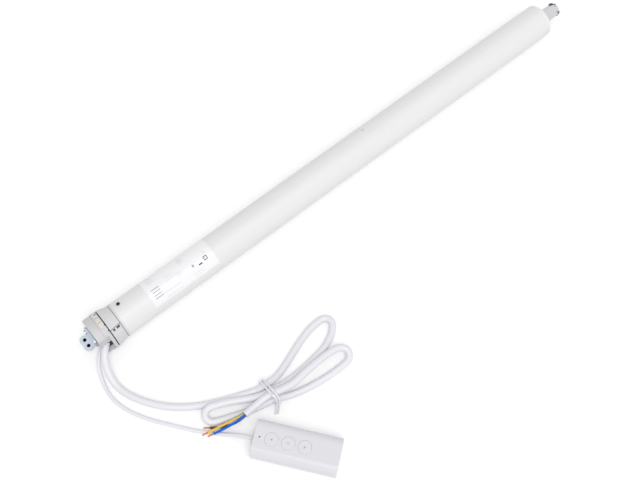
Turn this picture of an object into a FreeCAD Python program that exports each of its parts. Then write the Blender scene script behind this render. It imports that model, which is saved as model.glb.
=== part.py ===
import FreeCAD, Part
import math
import os
from FreeCAD import Placement, Rotation, Vector

# Roller shade controller: a tubular motor with its mains cord and a small wired control box.
# Frame: the origin is the middle of the two holes in the bracket, on the motor's axis.
# +X runs along the axis to the drive shaft, +Z is up, and the floor is one head radius below the axis.
# All lengths are in millimetres, all angles in degrees.

# Head, along the axis from its end face
HEAD_R = 19.95
HEAD_X = 8.0
HEAD_STEP_LEN = 8.2
HEAD_LEN = 14.4
HEAD_STEP = 0.35
HEAD_LINE_W = 0.35
HEAD_LINE_DEEP = 0.5
RIM_NOTCH = 1.1
RIM_NOTCH_ANGLES = (-8.0, -27.5)
SPIGOT_R = 14.0
WIRE_BORE_R = 6.0
EDGE = 0.6

# Limit crown, its key and the ring that keeps it on
CROWN_GAP = 1.0
WASHER_IN = 0.9
CROWN_LEN = 11.4
CROWN_RIM = 1.3
CROWN_END_R = 17.5
KEY_W = 10.0
KEY_DEPTH = 2.6
KEY_ANGLE = -45.0
KEY_NOTCH_W = 2.2
KEY_NOTCH_DEEP = 4.2
KEY_NOTCH_BACK = 0.3
KEY_LINE = 0.7
RING_GAP = 0.3
STOP_RING_LEN = 1.8
STOP_RING_R = 17.9
RUN_FIT = 0.05
SEAT_FIT = 0.05

# Motor tube and what fixes it
TUBE_R = 17.5
TUBE_WALL = 1.0
TUBE_LEN = 537.0
COLLAR_LEN = 15.0
SLIP_FIT = 0.1
SCREW_IN = 6.7
SCREW_R = 1.2
SCREW_HEAD_R = 1.75
SCREW_HEAD_T = 0.9
SCREW_BITE = 3.5
SCREW_ANGLES = (25.0, 205.0)
DIMPLE_IN = 306.0

# Label, without words
LABEL_START = 33.3
LABEL_LEN = 73.5
LABEL_THICK = 0.12
LABEL_LIFT = 0.02
LABEL_FROM = -61.0
LABEL_TO = 89.0

# Bracket
HOLE_PITCH = 6.7
HOLE_R = 2.05
LOBE_R = 4.9
TONGUE_W = 14.6
PLATE_T = 2.0
FLANGE_H = 15.0
FLANGE_Y0 = -7.3
FLANGE_Y1 = 12.2
PAD_T = 0.6
BRACKET_SCREW_R = 1.5
BRACKET_SCREW_HEAD_R = 2.3
BRACKET_SCREW_HEAD_T = 1.5
BRACKET_SCREW_LEN = 8.0
BRACKET_SCREWS = ((9.7, 0.0), (0.0, -4.6))
NUT_BORE_R = 1.65
NUT_FLANGE_R = 3.2
NUT_H = 2.6
NUT_CAP = 0.8

# Cord recess in the head
RECESS_LEN = 11.4
RECESS_FLOOR = -9.8
RECESS_SHELF = 1.6
RECESS_TOP_Y = -12.6
RECESS_DEEP_Y = -5.0
SLEEVE_WALL = 1.0
SLEEVE_LEN = 6.0
WEDGE_IN = 7.0
WEDGE_BACK = 0.2

# Cream window on the head
WINDOW_LEN = 4.5
WINDOW_IN = 9.4
WINDOW_DEPTH = 0.8
WINDOW_FROM = -12.0
WINDOW_TO = 50.0

# Output end
END_PLUG_LEN = 14.0
END_FLANGE = 3.0
END_ROUND = 2.7
SHAFT_AF = 11.8
SHAFT_TURN = -35.0
SHAFT_CORNER = 0.6
SHAFT_OUT = 22.1
JOURNAL_IN = 16.0
SHAFT_JOURNAL_R = 5.0
GROOVE_IN = 3.0
GROOVE_W = 1.1
GROOVE_DEPTH = 1.4
TIP_HOLE_R = 1.65
TIP_HOLE_LEN = 12.0
BEARING_R = 11.0
BEARING_LEN = 7.0
CLIP_R = 7.6
CLIP_MOUTH = 9.2
CLIP_TURN = -21.0
CLIP_T = 0.9

# Two planetary stages: module, teeth and lengths
MODULE = 0.7
SUN_TEETH = 12
PLANET_TEETH = 12
PLANETS = 3
FACE_W = 7.0
TOOTH = 0.85
ADDENDUM = 0.5
DEDENDUM = 0.75
FLANK = 20.0
CARRIER_R = 11.0
CARRIER_T = 2.5
PIN_R = 1.2
STAGE_1_X = 352.0
STAGE_2_X = 366.0
RING_X = 340.0
RING_LEN = 44.0
OUTPUT_R = 4.5

# Motor inside the tube
CAN_X = 236.0
CAN_LEN = 92.0
CAN_WALL = 1.2
ROTOR_IN = 21.0
ROTOR_R = 9.5
ROTOR_LEN = 50.0
STATOR_GAP = 0.5
STATOR_OVER = 2.0
MOTOR_SHAFT_R = 2.0
SMALL_BEARING_R = 5.0
SMALL_BEARING_LEN = 4.0
BRAKE_X = 212.0
DISC_IN = 5.0
DISC_T = 3.0
DISC_GAP = 1.0
COIL_LEN = 12.0
COIL_BORE = 1.5
BRAKE_R = 13.0

# Drive board
BOARD_X = 62.0
BOARD_LEN = 128.0
BOARD_T = 1.6
BOARD_Z = -6.0
CAPACITOR_IN = 30.0
CAPACITOR_R = 6.0
CAPACITOR_LEN = 24.0
RELAY_IN = 66.0
RELAY_GAP = 4.0
RELAY = (15.0, 10.0, 8.5)
TERMINAL_IN = 4.0
TERMINAL = (10.0, 18.0, 9.0)
TERMINAL_PITCH = 6.0

# Mains cord, its cores and the twist tie
CORD_D = 7.0
CORE_D = 2.4
COPPER_D = 1.4
COPPER_LEN = 6.0
TIE_X = 107.0
TIE_D = 1.8
TIE_PITCH = 3.2
TIE_UNDER = 1.1
TIE_GAP = 0.5
TIE_BEND = 2.0
TIE_Y_FIRST = -131.9
TIE_Y_TOP = -144.0
TIE_Z_TOP = -6.5
TIE_Y_LAST = -148.8

# Thin data cord and its plug
DATA_D = 3.8
PLUG_W = 11.6
PLUG_H = 7.9
PLUG_LEN = 17.0
PLUG_OUT = 1.5
LATCH_LEN = 11.5
LATCH_W = 5.2
CONTACTS = 8
CONTACT_PITCH = 1.02
CONTACT_W = 0.4

# Control box, lying on its back: s runs from the socket end, t across, h up from the floor
BOX_LEN = 80.0
BOX_W = 35.0
BOX_T = 23.5
BOX_CORNER = 8.2
BOX_EDGE = 0.8
BOX_WALL = 1.8
SEAM_H = 5.9
LIP_H = 1.4
LIP_W = 0.8
BOX_SOCKET_END = (69.1, -166.6)
BOX_YAW = -51.8
SOCKET_W = 12.2
SOCKET_H = 12.5
SOCKET_LOW = 4.3
JACK_LEN = 16.5
BUTTON_R = 6.25
BUTTON_GAP = 0.1
BUTTON_FLANGE = 0.9
BUTTON_FLANGE_T = 1.1
BUTTON_PROUD = 0.1
BUTTON_TRAVEL = 0.4
BUTTON_FIRST = 16.75
BUTTON_PITCH = 15.4
LAMP_S = 5.65
LAMP_R = 0.75
CBOARD_H = 17.2
CBOARD_T = 1.6
CBOARD_SIDE = 1.9
CBOARD_W = BOX_W - 2 * BOX_WALL - 2 * CBOARD_SIDE
CBOARD_END = 0.6
SWITCH_T = 1.0
SWITCH_W = 4.5
SWITCH_PIN_R = 1.2
POST_R = 2.5
POST_FIRST = 24.5
POST_END = 7.0
POST_EDGE = 2.5
POST_T = CBOARD_W / 2 - POST_EDGE
CASE_SCREW_R = 1.1
CASE_SCREW_HEAD_R = 2.0
CASE_SCREW_IN = 1.4
RADIO_LEN = 14.0
RADIO_W = 14.0
RADIO_T = 3.0
RADIO_END = 10.0

# Values worked out from the sizes above
FLOOR = -HEAD_R
HEAD_END_X = HEAD_X + HEAD_LEN
CROWN_X = HEAD_END_X + CROWN_GAP
CROWN_END_X = CROWN_X + CROWN_LEN
RING_STOP_X = CROWN_END_X + RING_GAP
TUBE_X = RING_STOP_X + STOP_RING_LEN
TUBE_END_X = TUBE_X + TUBE_LEN
SHAFT_TIP = TUBE_END_X + END_FLANGE + SHAFT_OUT
TUBE_BORE_R = TUBE_R - TUBE_WALL
INNER_R = TUBE_BORE_R - SLIP_FIT
COLLAR_END_X = TUBE_X + COLLAR_LEN
SCREW_X = TUBE_X + SCREW_IN
PLATE_X = HEAD_X - PAD_T - PLATE_T
ORBIT_R = MODULE * (SUN_TEETH + PLANET_TEETH) / 2
RING_TEETH = SUN_TEETH + 2 * PLANET_TEETH
CORD_LOW = FLOOR + CORD_D / 2
CORD_HIGH = CORD_LOW + CORD_D + 0.7
CORD_TIED = CORD_LOW + TIE_D + TIE_UNDER
DATA_LOW = FLOOR + DATA_D / 2
SOCKET_MID = SOCKET_LOW + SOCKET_H / 2

# The mains cord from the head to the tie, lying on the floor
LEAD_ROUTE = [
    (16.6, -8.0, -2.4), (8.5, -15.6, -2.4), (2.8, -24.0, -6.6), (-0.8, -35.0, -12.2),
    (-1.2, -47.5, CORD_LOW), (3.4, -62.0, CORD_LOW), (12.6, -77.5, CORD_LOW), (24.6, -92.0, CORD_LOW),
    (40.2, -104.6, CORD_LOW), (57.0, -114.0, CORD_LOW), (75.0, -121.8, CORD_LOW), (92.5, -128.4, CORD_LOW),
]

# The tied hank: out through the tie, round loop A, back to the left fold, round loop B, to the cut end
HANK_ROUTE = [
    (92.5, -128.4, CORD_LOW), (99.5, -131.04, CORD_LOW), (107.5, -131.9, CORD_TIED),
    (121.0, -132.4, CORD_LOW),
    (137.0, -127.2, CORD_LOW), (153.0, -120.8, CORD_LOW), (168.5, -115.6, CORD_LOW),
    (182.0, -113.2, CORD_LOW), (193.2, -114.0, CORD_LOW), (196.7, -122.2, CORD_LOW),
    (189.5, -130.2, CORD_LOW), (176.5, -137.2, CORD_LOW), (161.0, -139.8, CORD_LOW),
    (146.0, -141.2, CORD_LOW), (132.0, -141.9, CORD_LOW), (119.0, -141.4, CORD_LOW),
    (107.5, -140.0, CORD_TIED),
    (96.5, -137.7, -13.5), (84.5, -132.0, -11.5), (71.5, -124.9, -10.4), (62.0, -120.6, -10.1),
    (51.6, -116.8, -10.0), (45.3, -121.2, -13.2), (46.7, -128.8, -16.4), (58.7, -133.8, CORD_LOW),
    (72.7, -139.2, CORD_LOW), (86.3, -143.4, CORD_LOW), (97.3, -146.0, -15.4), (107.5, -148.1, CORD_TIED),
    (118.5, -153.2, CORD_LOW), (132.0, -157.4, CORD_LOW), (146.5, -160.0, CORD_LOW),
    (161.5, -161.8, CORD_LOW), (174.5, -162.0, CORD_LOW), (185.8, -161.4, CORD_LOW), (190.2, -154.0, -14.7),
    (185.8, -146.6, -13.0), (172.5, -145.0, -11.0), (158.0, -145.6, -9.7), (143.5, -146.4, -9.0),
    (130.5, -148.4, -8.4), (118.5, -147.2, -7.6), (107.0, TIE_Y_TOP, TIE_Z_TOP), (96.0, -143.0, -7.8),
    (85.5, -143.4, CORD_HIGH), (76.2, -143.9, CORD_HIGH),
]

# The tie's two ends, side by side, from the top of the bundle down to the floor
TAIL_ROUTES = [
    [(108.6, -146.6, 0.9), (108.9, -151.8, -1.1), (107.6, -154.8, -7.6),
     (104.6, -157.2, -14.0), (101.0, -159.9, -18.7)],
    [(106.3, -146.6, 0.9), (106.6, -151.8, -1.1), (105.2, -154.4, -7.6),
     (102.2, -156.6, -14.0), (98.8, -158.8, -18.7)],
]

# The three cores fan out of the cut end, two resting on the data cord and one on the floor
CORE_ROUTES = {
    "earth_core": [(76.1, -142.4, -8.75), (71.5, -142.65, -8.75), (64.8, -140.7, -10.1),
                   (56.6, -138.9, -12.2), (48.2, -136.9, -13.8), (39.8, -135.0, -14.6)],
    "neutral_core": [(76.2, -144.65, -7.45), (71.6, -144.9, -7.45), (65.2, -144.1, -9.5),
                     (58.0, -142.6, -12.0), (50.4, -140.9, -13.9), (43.0, -139.1, -14.7)],
    "live_core": [(76.2, -144.65, -10.05), (71.6, -144.9, -10.05), (65.6, -144.2, -12.6),
                  (58.6, -141.4, -15.4), (51.2, -137.4, -17.5), (43.8, -131.6, -18.3)],
}

# The data cord from the head to the control box
DATA_ROUTE = [
    (9.7, -8.0, -7.9), (2.6, -13.5, -7.9), (-3.4, -20.2, -11.4), (-7.8, -29.4, -15.8),
    (-10.6, -40.6, DATA_LOW), (-11.4, -53.0, DATA_LOW), (-8.2, -66.6, DATA_LOW), (-1.8, -80.6, DATA_LOW),
    (7.4, -94.8, DATA_LOW), (17.9, -108.2, DATA_LOW), (28.2, -121.4, DATA_LOW), (38.0, -132.6, DATA_LOW),
    (47.5, -142.0, DATA_LOW), (56.0, -150.6, -14.6),
]

X_AXIS = Vector(1, 0, 0)
Z_AXIS = Vector(0, 0, 1)
PARTS = "parts"


def save(name, shape):
    """Write one named piece, or a group of like pieces, to its own file."""
    if isinstance(shape, list):
        shape = Part.makeCompound(shape)
    if not shape.isValid():
        print("not valid:", name)
    shape.exportStep(os.path.join(PARTS, name + ".step"))
    return shape


def rod(x0, x1, r, y=0.0, z=0.0):
    """A round bar along X."""
    return Part.makeCylinder(r, x1 - x0, Vector(x0, y, z), X_AXIS)


def sleeve(x0, x1, r_out, r_in, y=0.0, z=0.0):
    """A round tube along X."""
    return rod(x0, x1, r_out, y, z).cut(rod(x0 - 1, x1 + 1, r_in, y, z))


def block(x0, x1, y0, y1, z0, z1):
    return Part.makeBox(x1 - x0, y1 - y0, z1 - z0, Vector(x0, y0, z0))


def turned(profile):
    """A solid turned about the X axis from (x, radius) corners."""
    points = [Vector(x, 0, r) for x, r in profile]
    face = Part.Face(Part.makePolygon(points + [points[0]]))
    return face.revolve(Vector(0, 0, 0), X_AXIS, 360)


def spun(shape, angle):
    """A copy turned about the motor's axis: 0 is up and positive goes towards +Y."""
    copy = shape.copy()
    copy.rotate(Vector(0, 0, 0), X_AXIS, -angle)
    return copy


def sector(x0, x1, r_in, r_out, start, end):
    """Part of a tube along X between two angles from the top, positive towards +Y."""
    ring = sleeve(x0, x1, r_out, r_in)
    far = 3 * r_out
    steps = 8
    corners = [Vector(x0 - 1, 0, 0)]
    for i in range(steps + 1):
        angle = math.radians(start + (end - start) * i / steps)
        corners.append(Vector(x0 - 1, far * math.sin(angle), far * math.cos(angle)))
    wedge = Part.Face(Part.makePolygon(corners + [corners[0]])).extrude(Vector(x1 - x0 + 2, 0, 0))
    return ring.common(wedge)


def cord_path(name, route, diameter):
    """Straight runs joined by tangent arcs, with the tightest radius printed."""
    points = [Vector(*p) for p in route]
    edges = []
    here = points[0]
    radii = []
    for i in range(1, len(points) - 1):
        before = points[i] - points[i - 1]
        after = points[i + 1] - points[i]
        u = Vector(before).normalize()
        v = Vector(after).normalize()
        half = math.acos(max(-1.0, min(1.0, u.dot(v)))) / 2
        reach = 0.45 * min(before.Length, after.Length)
        radius = reach / math.tan(half)
        radii.append(radius)
        inward = Vector(v - u).normalize()
        centre = points[i] + inward * (radius / math.cos(half))
        start = points[i] - u * reach
        middle = centre - inward * radius
        end = points[i] + v * reach
        edges.append(Part.LineSegment(here, start).toShape())
        edges.append(Part.Arc(start, middle, end).toShape())
        here = end
    edges.append(Part.LineSegment(here, points[-1]).toShape())
    wire = Part.Wire(edges)
    print(name, "length %.1f" % wire.Length, "least radius %.1f" % min(radii),
          "radii", [round(r) for r in radii], "diameter", diameter)
    return wire


def cord_solid(name, route, diameter):
    """One unbroken tube along the route, its volume set against its section times its length."""
    wire = cord_path(name, route, diameter)
    start = Vector(*route[0])
    normal = (Vector(*route[1]) - start).normalize()
    ring = Part.Wire([Part.makeCircle(diameter / 2, start, normal)])
    solid = wire.makePipeShell([ring], True, False)
    if solid.ShapeType != "Solid":
        solid = Part.Solid(solid)
    expected = math.pi * diameter ** 2 / 4 * wire.Length
    low = min(p.z for p in wire.discretize(Distance=1.0)) - diameter / 2 - FLOOR
    print(name, "volume ratio %.4f" % (solid.Volume / expected), "above floor %.2f" % low)
    return solid, wire


def self_gap(name, wire, diameter):
    """The least gap between stretches of one cord that are apart along it."""
    step = 1.5
    points = wire.discretize(Distance=step)
    skip = int(3.2 * diameter / step)
    least = 1e9
    for i in range(len(points)):
        for j in range(i + skip, len(points)):
            least = min(least, points[i].distanceToPoint(points[j]))
    print(name, "least gap to itself %.2f" % (least - diameter))


def wire_gap(a_name, a, b_name, b, reach):
    """The least distance between two cords' lines, less their radii."""
    print(a_name, b_name, "gap %.2f" % (a.distToShape(b)[0] - reach))


def along(point, toward, length, radius):
    """A round bar from a point in a direction."""
    return Part.makeCylinder(radius, length, Vector(*point), Vector(*toward))


def heading(route, i):
    """The unit direction of a run of a route."""
    run = Vector(*route[i + 1]) - Vector(*route[i])
    return run.normalize()


def gear_outline(teeth, inside):
    """Corner points of a spur gear's or a ring gear's teeth in the YZ plane."""
    pitch_r = MODULE * teeth / 2
    lean = math.tan(math.radians(FLANK))
    top = ADDENDUM
    foot = DEDENDUM
    tip_r = pitch_r - top if inside else pitch_r + top
    root_r = pitch_r + foot if inside else pitch_r - foot
    tip_half = (TOOTH / 2 - top * lean) / tip_r
    root_half = (TOOTH / 2 + foot * lean) / root_r
    points = []
    for k in range(teeth):
        a = 2 * math.pi * k / teeth
        for r, shift in ((root_r, -root_half), (tip_r, -tip_half), (tip_r, tip_half), (root_r, root_half)):
            points.append((r, a + shift))
    return points


def gear(x0, width, teeth, y=0.0, z=0.0, turn=0.0, inside=False):
    """The toothed prism of a gear along X, a tooth at the angle turn from +Y."""
    corners = []
    for r, a in gear_outline(teeth, inside):
        corners.append(Vector(x0, y + r * math.cos(a + turn), z + r * math.sin(a + turn)))
    return Part.Face(Part.makePolygon(corners + [corners[0]])).extrude(Vector(width, 0, 0))


def planet_spots():
    """The angle and centre of each planet."""
    spots = []
    for i in range(PLANETS):
        a = 2 * math.pi * i / PLANETS
        spots.append((a, ORBIT_R * math.cos(a), ORBIT_R * math.sin(a)))
    return spots


def motor_tube():
    tube = sleeve(TUBE_X, TUBE_END_X, TUBE_R, TUBE_BORE_R)
    for angle in SCREW_ANGLES:
        foot = Vector(SCREW_X, 0, TUBE_BORE_R - 0.5)
        hole = Part.makeCylinder(SCREW_R + RUN_FIT, 2 * TUBE_WALL, foot, Z_AXIS)
        tube = tube.cut(spun(hole, angle))
        dimple = Part.makeSphere(1.4, Vector(TUBE_X + DIMPLE_IN, 0, TUBE_R + 0.9))
        tube = tube.cut(spun(dimple, angle))
    return tube


def rating_label():
    start = TUBE_X + LABEL_START
    inner = TUBE_R + LABEL_LIFT
    return sector(start, start + LABEL_LEN, inner, inner + LABEL_THICK, LABEL_FROM, LABEL_TO)


def recess_tool():
    """The space in the head that both cords leave through."""
    x0 = HEAD_X - 1
    x1 = HEAD_X + RECESS_LEN
    far = -HEAD_R - 2
    high = block(x0, x1, far, RECESS_TOP_Y, RECESS_FLOOR, HEAD_R)
    deep = block(x0, x1, far, RECESS_DEEP_Y, RECESS_FLOOR, RECESS_SHELF)
    return high.fuse(deep)


def cord_clamp():
    """The clamp that both cords come out of: a sleeve round each and a wedge beside the mains cord."""
    shapes = []
    for route, diameter in ((LEAD_ROUTE, CORD_D), (DATA_ROUTE, DATA_D)):
        back = heading(route, 0) * -1
        shapes.append(along(route[0], back, SLEEVE_LEN, diameter / 2 + SLEEVE_WALL))
    wedge = block(HEAD_X + WEDGE_IN, HEAD_X + RECESS_LEN - SEAT_FIT, RECESS_TOP_Y + WEDGE_BACK,
                  RECESS_DEEP_Y - SEAT_FIT, RECESS_FLOOR + SEAT_FIT, RECESS_SHELF - SEAT_FIT)
    wedge = wedge.cut(along(LEAD_ROUTE[0], heading(LEAD_ROUTE, 0), 3 * CORD_D, CORD_D / 2 + RUN_FIT))
    return shapes[0].fuse(wedge).fuse(shapes[1])


def window_pocket(depth_extra=0.0, side=0.0):
    x0 = HEAD_X + WINDOW_IN - side
    x1 = x0 + WINDOW_LEN + 2 * side
    grow = math.degrees(side / HEAD_R)
    return sector(x0, x1, HEAD_R - WINDOW_DEPTH - depth_extra, HEAD_R + depth_extra,
                  WINDOW_FROM - grow, WINDOW_TO + grow)


def head_body():
    step_x = HEAD_X + HEAD_STEP_LEN
    profile = [
        (HEAD_X, 0), (HEAD_X, HEAD_R - HEAD_STEP - EDGE), (HEAD_X + EDGE, HEAD_R - HEAD_STEP),
        (step_x - HEAD_LINE_W, HEAD_R - HEAD_STEP), (step_x - HEAD_LINE_W,
                                                     HEAD_R - HEAD_STEP - HEAD_LINE_DEEP),
        (step_x, HEAD_R - HEAD_STEP - HEAD_LINE_DEEP), (step_x, HEAD_R), (HEAD_END_X - EDGE / 2, HEAD_R),
        (HEAD_END_X, HEAD_R - EDGE / 2), (HEAD_END_X, SPIGOT_R), (COLLAR_END_X, SPIGOT_R), (COLLAR_END_X, 0),
    ]
    body = turned(profile)
    body = body.cut(recess_tool())
    body = body.cut(cord_clamp())
    body = body.cut(rod(HEAD_END_X - 6, COLLAR_END_X + 1, WIRE_BORE_R))
    body = body.cut(window_pocket(0.0, SEAT_FIT))
    for angle in RIM_NOTCH_ANGLES:
        notch = block(HEAD_END_X - RIM_NOTCH, HEAD_END_X + 1, -RIM_NOTCH / 2, RIM_NOTCH / 2,
                      HEAD_R - RIM_NOTCH, HEAD_R + 1)
        body = body.cut(spun(notch, angle))
    for y, z in BRACKET_SCREWS:
        body = body.cut(rod(HEAD_X - 1, PLATE_X + BRACKET_SCREW_LEN + 0.5, BRACKET_SCREW_R, y, z))
    for angle in SCREW_ANGLES:
        hole = Part.makeCylinder(SCREW_R, SPIGOT_R, Vector(SCREW_X, 0, SPIGOT_R - SCREW_BITE - 0.5), Z_AXIS)
        body = body.cut(spun(hole, angle))
    return body


def crown_slot(side=0.0, floor=0.0):
    """The key's slot through the crown's outer wall."""
    half = KEY_W / 2 + side
    low = HEAD_R - KEY_DEPTH - 2.0 - floor
    slot = block(CROWN_X - 1, CROWN_END_X + 1, -half, half, low, HEAD_R + 2)
    return spun(slot, KEY_ANGLE)


def crown_blank():
    profile = [
        (CROWN_X, SPIGOT_R + RUN_FIT), (CROWN_X, HEAD_R), (CROWN_X + CROWN_RIM, HEAD_R),
        (CROWN_X + CROWN_RIM + 0.5, HEAD_R - 0.5), (CROWN_END_X - EDGE, CROWN_END_R),
        (CROWN_END_X, CROWN_END_R - EDGE), (CROWN_END_X, SPIGOT_R + RUN_FIT),
    ]
    return turned(profile)


def crown_ring():
    return crown_blank().cut(crown_slot(SEAT_FIT))


def crown_key():
    """The key, with a narrow gap along its upper side and two notches beside that."""
    key = crown_blank().common(crown_slot())
    side = KEY_W / 2
    deep = HEAD_R - KEY_NOTCH_DEEP
    cuts = [block(CROWN_X - 1, CROWN_END_X + 1, side - KEY_LINE, side + 1, deep, HEAD_R + 1)]
    y1 = side - KEY_LINE - KEY_NOTCH_BACK
    for x0, x1 in ((CROWN_X + 2.2, CROWN_X + 4.4), (CROWN_END_X - 5.2, CROWN_END_X - 1.6)):
        cuts.append(block(x0, x1, y1 - KEY_NOTCH_W, y1, deep, HEAD_R + 1))
    for cut in cuts:
        key = key.cut(spun(cut, KEY_ANGLE))
    return key


def crown_washer():
    """Black washer in the gap between the head and the crown."""
    return sleeve(HEAD_END_X + RUN_FIT, CROWN_X - RUN_FIT, HEAD_R - WASHER_IN, SPIGOT_R + SEAT_FIT)


def crown_stop_ring():
    return sleeve(RING_STOP_X, TUBE_X, STOP_RING_R, SPIGOT_R + SEAT_FIT)


def tube_collar():
    collar = sleeve(TUBE_X, COLLAR_END_X, INNER_R, SPIGOT_R + SEAT_FIT)
    for angle in SCREW_ANGLES:
        hole = Part.makeCylinder(SCREW_R, 5.0, Vector(SCREW_X, 0, SPIGOT_R - 1), Z_AXIS)
        collar = collar.cut(spun(hole, angle))
    return collar


def head_screws():
    """Screws through the tube and the collar into the head's spigot."""
    shapes = []
    for angle in SCREW_ANGLES:
        shank_low = SPIGOT_R - SCREW_BITE
        head_low = TUBE_R + SEAT_FIT
        shank = Part.makeCylinder(SCREW_R - SEAT_FIT, head_low - shank_low, Vector(SCREW_X, 0, shank_low),
                                  Z_AXIS)
        head = Part.makeCylinder(SCREW_HEAD_R, SCREW_HEAD_T, Vector(SCREW_X, 0, head_low), Z_AXIS)
        drive = block(SCREW_X - 1.6, SCREW_X + 1.6, -0.35, 0.35, TUBE_R + 0.5, TUBE_R + 2)
        shapes.append(spun(shank.fuse(head).cut(drive), angle))
    return shapes


def head_bracket():
    """Steel tongue with two lobes and two holes on a flange that lies on the head."""
    half_t = PLATE_T / 2
    tongue = block(0, PLATE_X + PLATE_T, -TONGUE_W / 2, TONGUE_W / 2, -half_t, half_t)
    for side in (-1, 1):
        centre = Vector(0, side * HOLE_PITCH / 2, -half_t)
        tongue = tongue.fuse(Part.makeCylinder(LOBE_R, PLATE_T, centre, Z_AXIS))
    flange = block(PLATE_X, PLATE_X + PLATE_T, FLANGE_Y0, FLANGE_Y1, -FLANGE_H / 2, FLANGE_H / 2)
    upright = [e for e in flange.Edges if abs(e.Vertexes[0].X - e.Vertexes[-1].X) > PLATE_T / 2]
    flange = flange.makeFillet(2.0, upright)
    pad = block(PLATE_X + PLATE_T, HEAD_X, FLANGE_Y0 + 3, FLANGE_Y1 - 1, -FLANGE_H / 2 + 1.5,
                FLANGE_H / 2 - 1.5)
    body = tongue.fuse(flange).fuse(pad)
    for side in (-1, 1):
        body = body.cut(Part.makeCylinder(HOLE_R, 4 * PLATE_T, Vector(0, side * HOLE_PITCH / 2,
                                                                      -2 * PLATE_T), Z_AXIS))
    for y, z in BRACKET_SCREWS:
        body = body.cut(rod(PLATE_X - 1, HEAD_X + 1, BRACKET_SCREW_R + RUN_FIT, y, z))
    return body.removeSplitter()


def bracket_screws():
    shapes = []
    for y, z in BRACKET_SCREWS:
        head = rod(PLATE_X - BRACKET_SCREW_HEAD_T, PLATE_X, BRACKET_SCREW_HEAD_R, y, z)
        slot = block(PLATE_X - BRACKET_SCREW_HEAD_T - 1, PLATE_X - 0.8, y - 1.6, y + 1.6, z - 0.3, z + 0.3)
        shank = rod(PLATE_X, PLATE_X + BRACKET_SCREW_LEN, BRACKET_SCREW_R - SEAT_FIT, y, z)
        shapes.append(head.cut(slot).fuse(shank))
    return shapes


def bracket_nuts():
    """Closed clinch nuts that fill the tongue's holes from below."""
    under = -PLATE_T / 2 - SEAT_FIT
    shapes = []
    for side in (-1, 1):
        y = side * HOLE_PITCH / 2
        shank = Part.makeCylinder(HOLE_R - SEAT_FIT, NUT_H + PLATE_T, Vector(0, y, under - NUT_H), Z_AXIS)
        flange = Part.makeCylinder(NUT_FLANGE_R, NUT_H, Vector(0, y, under - NUT_H), Z_AXIS)
        bore = Part.makeCylinder(NUT_BORE_R, NUT_H + 2 * PLATE_T, Vector(0, y, under - NUT_H + NUT_CAP),
                                 Z_AXIS)
        shapes.append(shank.fuse(flange).cut(bore))
    return shapes


def end_plug():
    """Round-edged plug in the tube's far end, with the drive shaft's bore."""
    profile = [
        (TUBE_END_X - END_PLUG_LEN, BEARING_R + 1.5), (TUBE_END_X - END_PLUG_LEN, INNER_R), (TUBE_END_X,
                                                                                             INNER_R),
        (TUBE_END_X, TUBE_R), (TUBE_END_X + END_FLANGE, TUBE_R),
        (TUBE_END_X + END_FLANGE, SHAFT_JOURNAL_R + 2.0), (TUBE_END_X - 2, SHAFT_JOURNAL_R + 2.0),
        (TUBE_END_X - 2, BEARING_R - 1.5), (TUBE_END_X - 4, BEARING_R - 1.5),
        (TUBE_END_X - 4, BEARING_R + SEAT_FIT), (TUBE_END_X - 4 - BEARING_LEN, BEARING_R + SEAT_FIT),
        (TUBE_END_X - 4 - BEARING_LEN, BEARING_R + 1.5),
    ]
    plug = turned(profile)
    front = TUBE_END_X + END_FLANGE - 0.01
    rim = [e for e in plug.Edges if e.BoundBox.XMin > front and e.BoundBox.ZMax > TUBE_R - 0.01]
    return plug.makeFillet(END_ROUND, rim)


def output_bearing():
    x1 = TUBE_END_X - 4 - RUN_FIT
    return sleeve(x1 - BEARING_LEN + 2 * RUN_FIT, x1, BEARING_R, SHAFT_JOURNAL_R + RUN_FIT)


def drive_shaft():
    """Square shaft with broken corners, a clip groove, a tapped tip and a round journal."""
    half = SHAFT_AF / 2
    square_x = TUBE_END_X + END_FLANGE + 0.6
    square = block(square_x, SHAFT_TIP, -half, half, -half, half)
    long_edges = [e for e in square.Edges if abs(e.Vertexes[0].X - e.Vertexes[-1].X) > 1]
    square = square.makeChamfer(SHAFT_CORNER, long_edges)
    groove_x = SHAFT_TIP - GROOVE_IN
    band = sleeve(groove_x, groove_x + GROOVE_W, 2 * half, half * math.sqrt(2) - SHAFT_CORNER - GROOVE_DEPTH)
    square = spun(square, SHAFT_TURN).cut(band)
    square = square.cut(rod(SHAFT_TIP - TIP_HOLE_LEN, SHAFT_TIP + 1, TIP_HOLE_R))
    journal = rod(TUBE_END_X - JOURNAL_IN, square_x, SHAFT_JOURNAL_R)
    stem = rod(STAGE_2_X + FACE_W + 0.5 + CARRIER_T, TUBE_END_X - JOURNAL_IN + 1, OUTPUT_R)
    return stem.fuse(journal).fuse(square)


def shaft_clip():
    groove_x = SHAFT_TIP - GROOVE_IN + (GROOVE_W - CLIP_T) / 2
    seat_r = SHAFT_AF / 2 * math.sqrt(2) - SHAFT_CORNER - GROOVE_DEPTH + SEAT_FIT
    ring = sleeve(groove_x, groove_x + CLIP_T, CLIP_R, seat_r)
    mouth = block(groove_x - 1, groove_x + 2, -CLIP_MOUTH / 2, CLIP_MOUTH / 2, 0, CLIP_R + 1)
    return ring.cut(spun(mouth, CLIP_TURN))


def ring_gear():
    teeth = gear(RING_X - 1, RING_LEN + 2, RING_TEETH, inside=True)
    body = rod(RING_X, RING_X + RING_LEN, INNER_R).cut(teeth)
    front = sleeve(RING_X - 3, RING_X, INNER_R, CARRIER_R - 4)
    return body.fuse(front)


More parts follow.
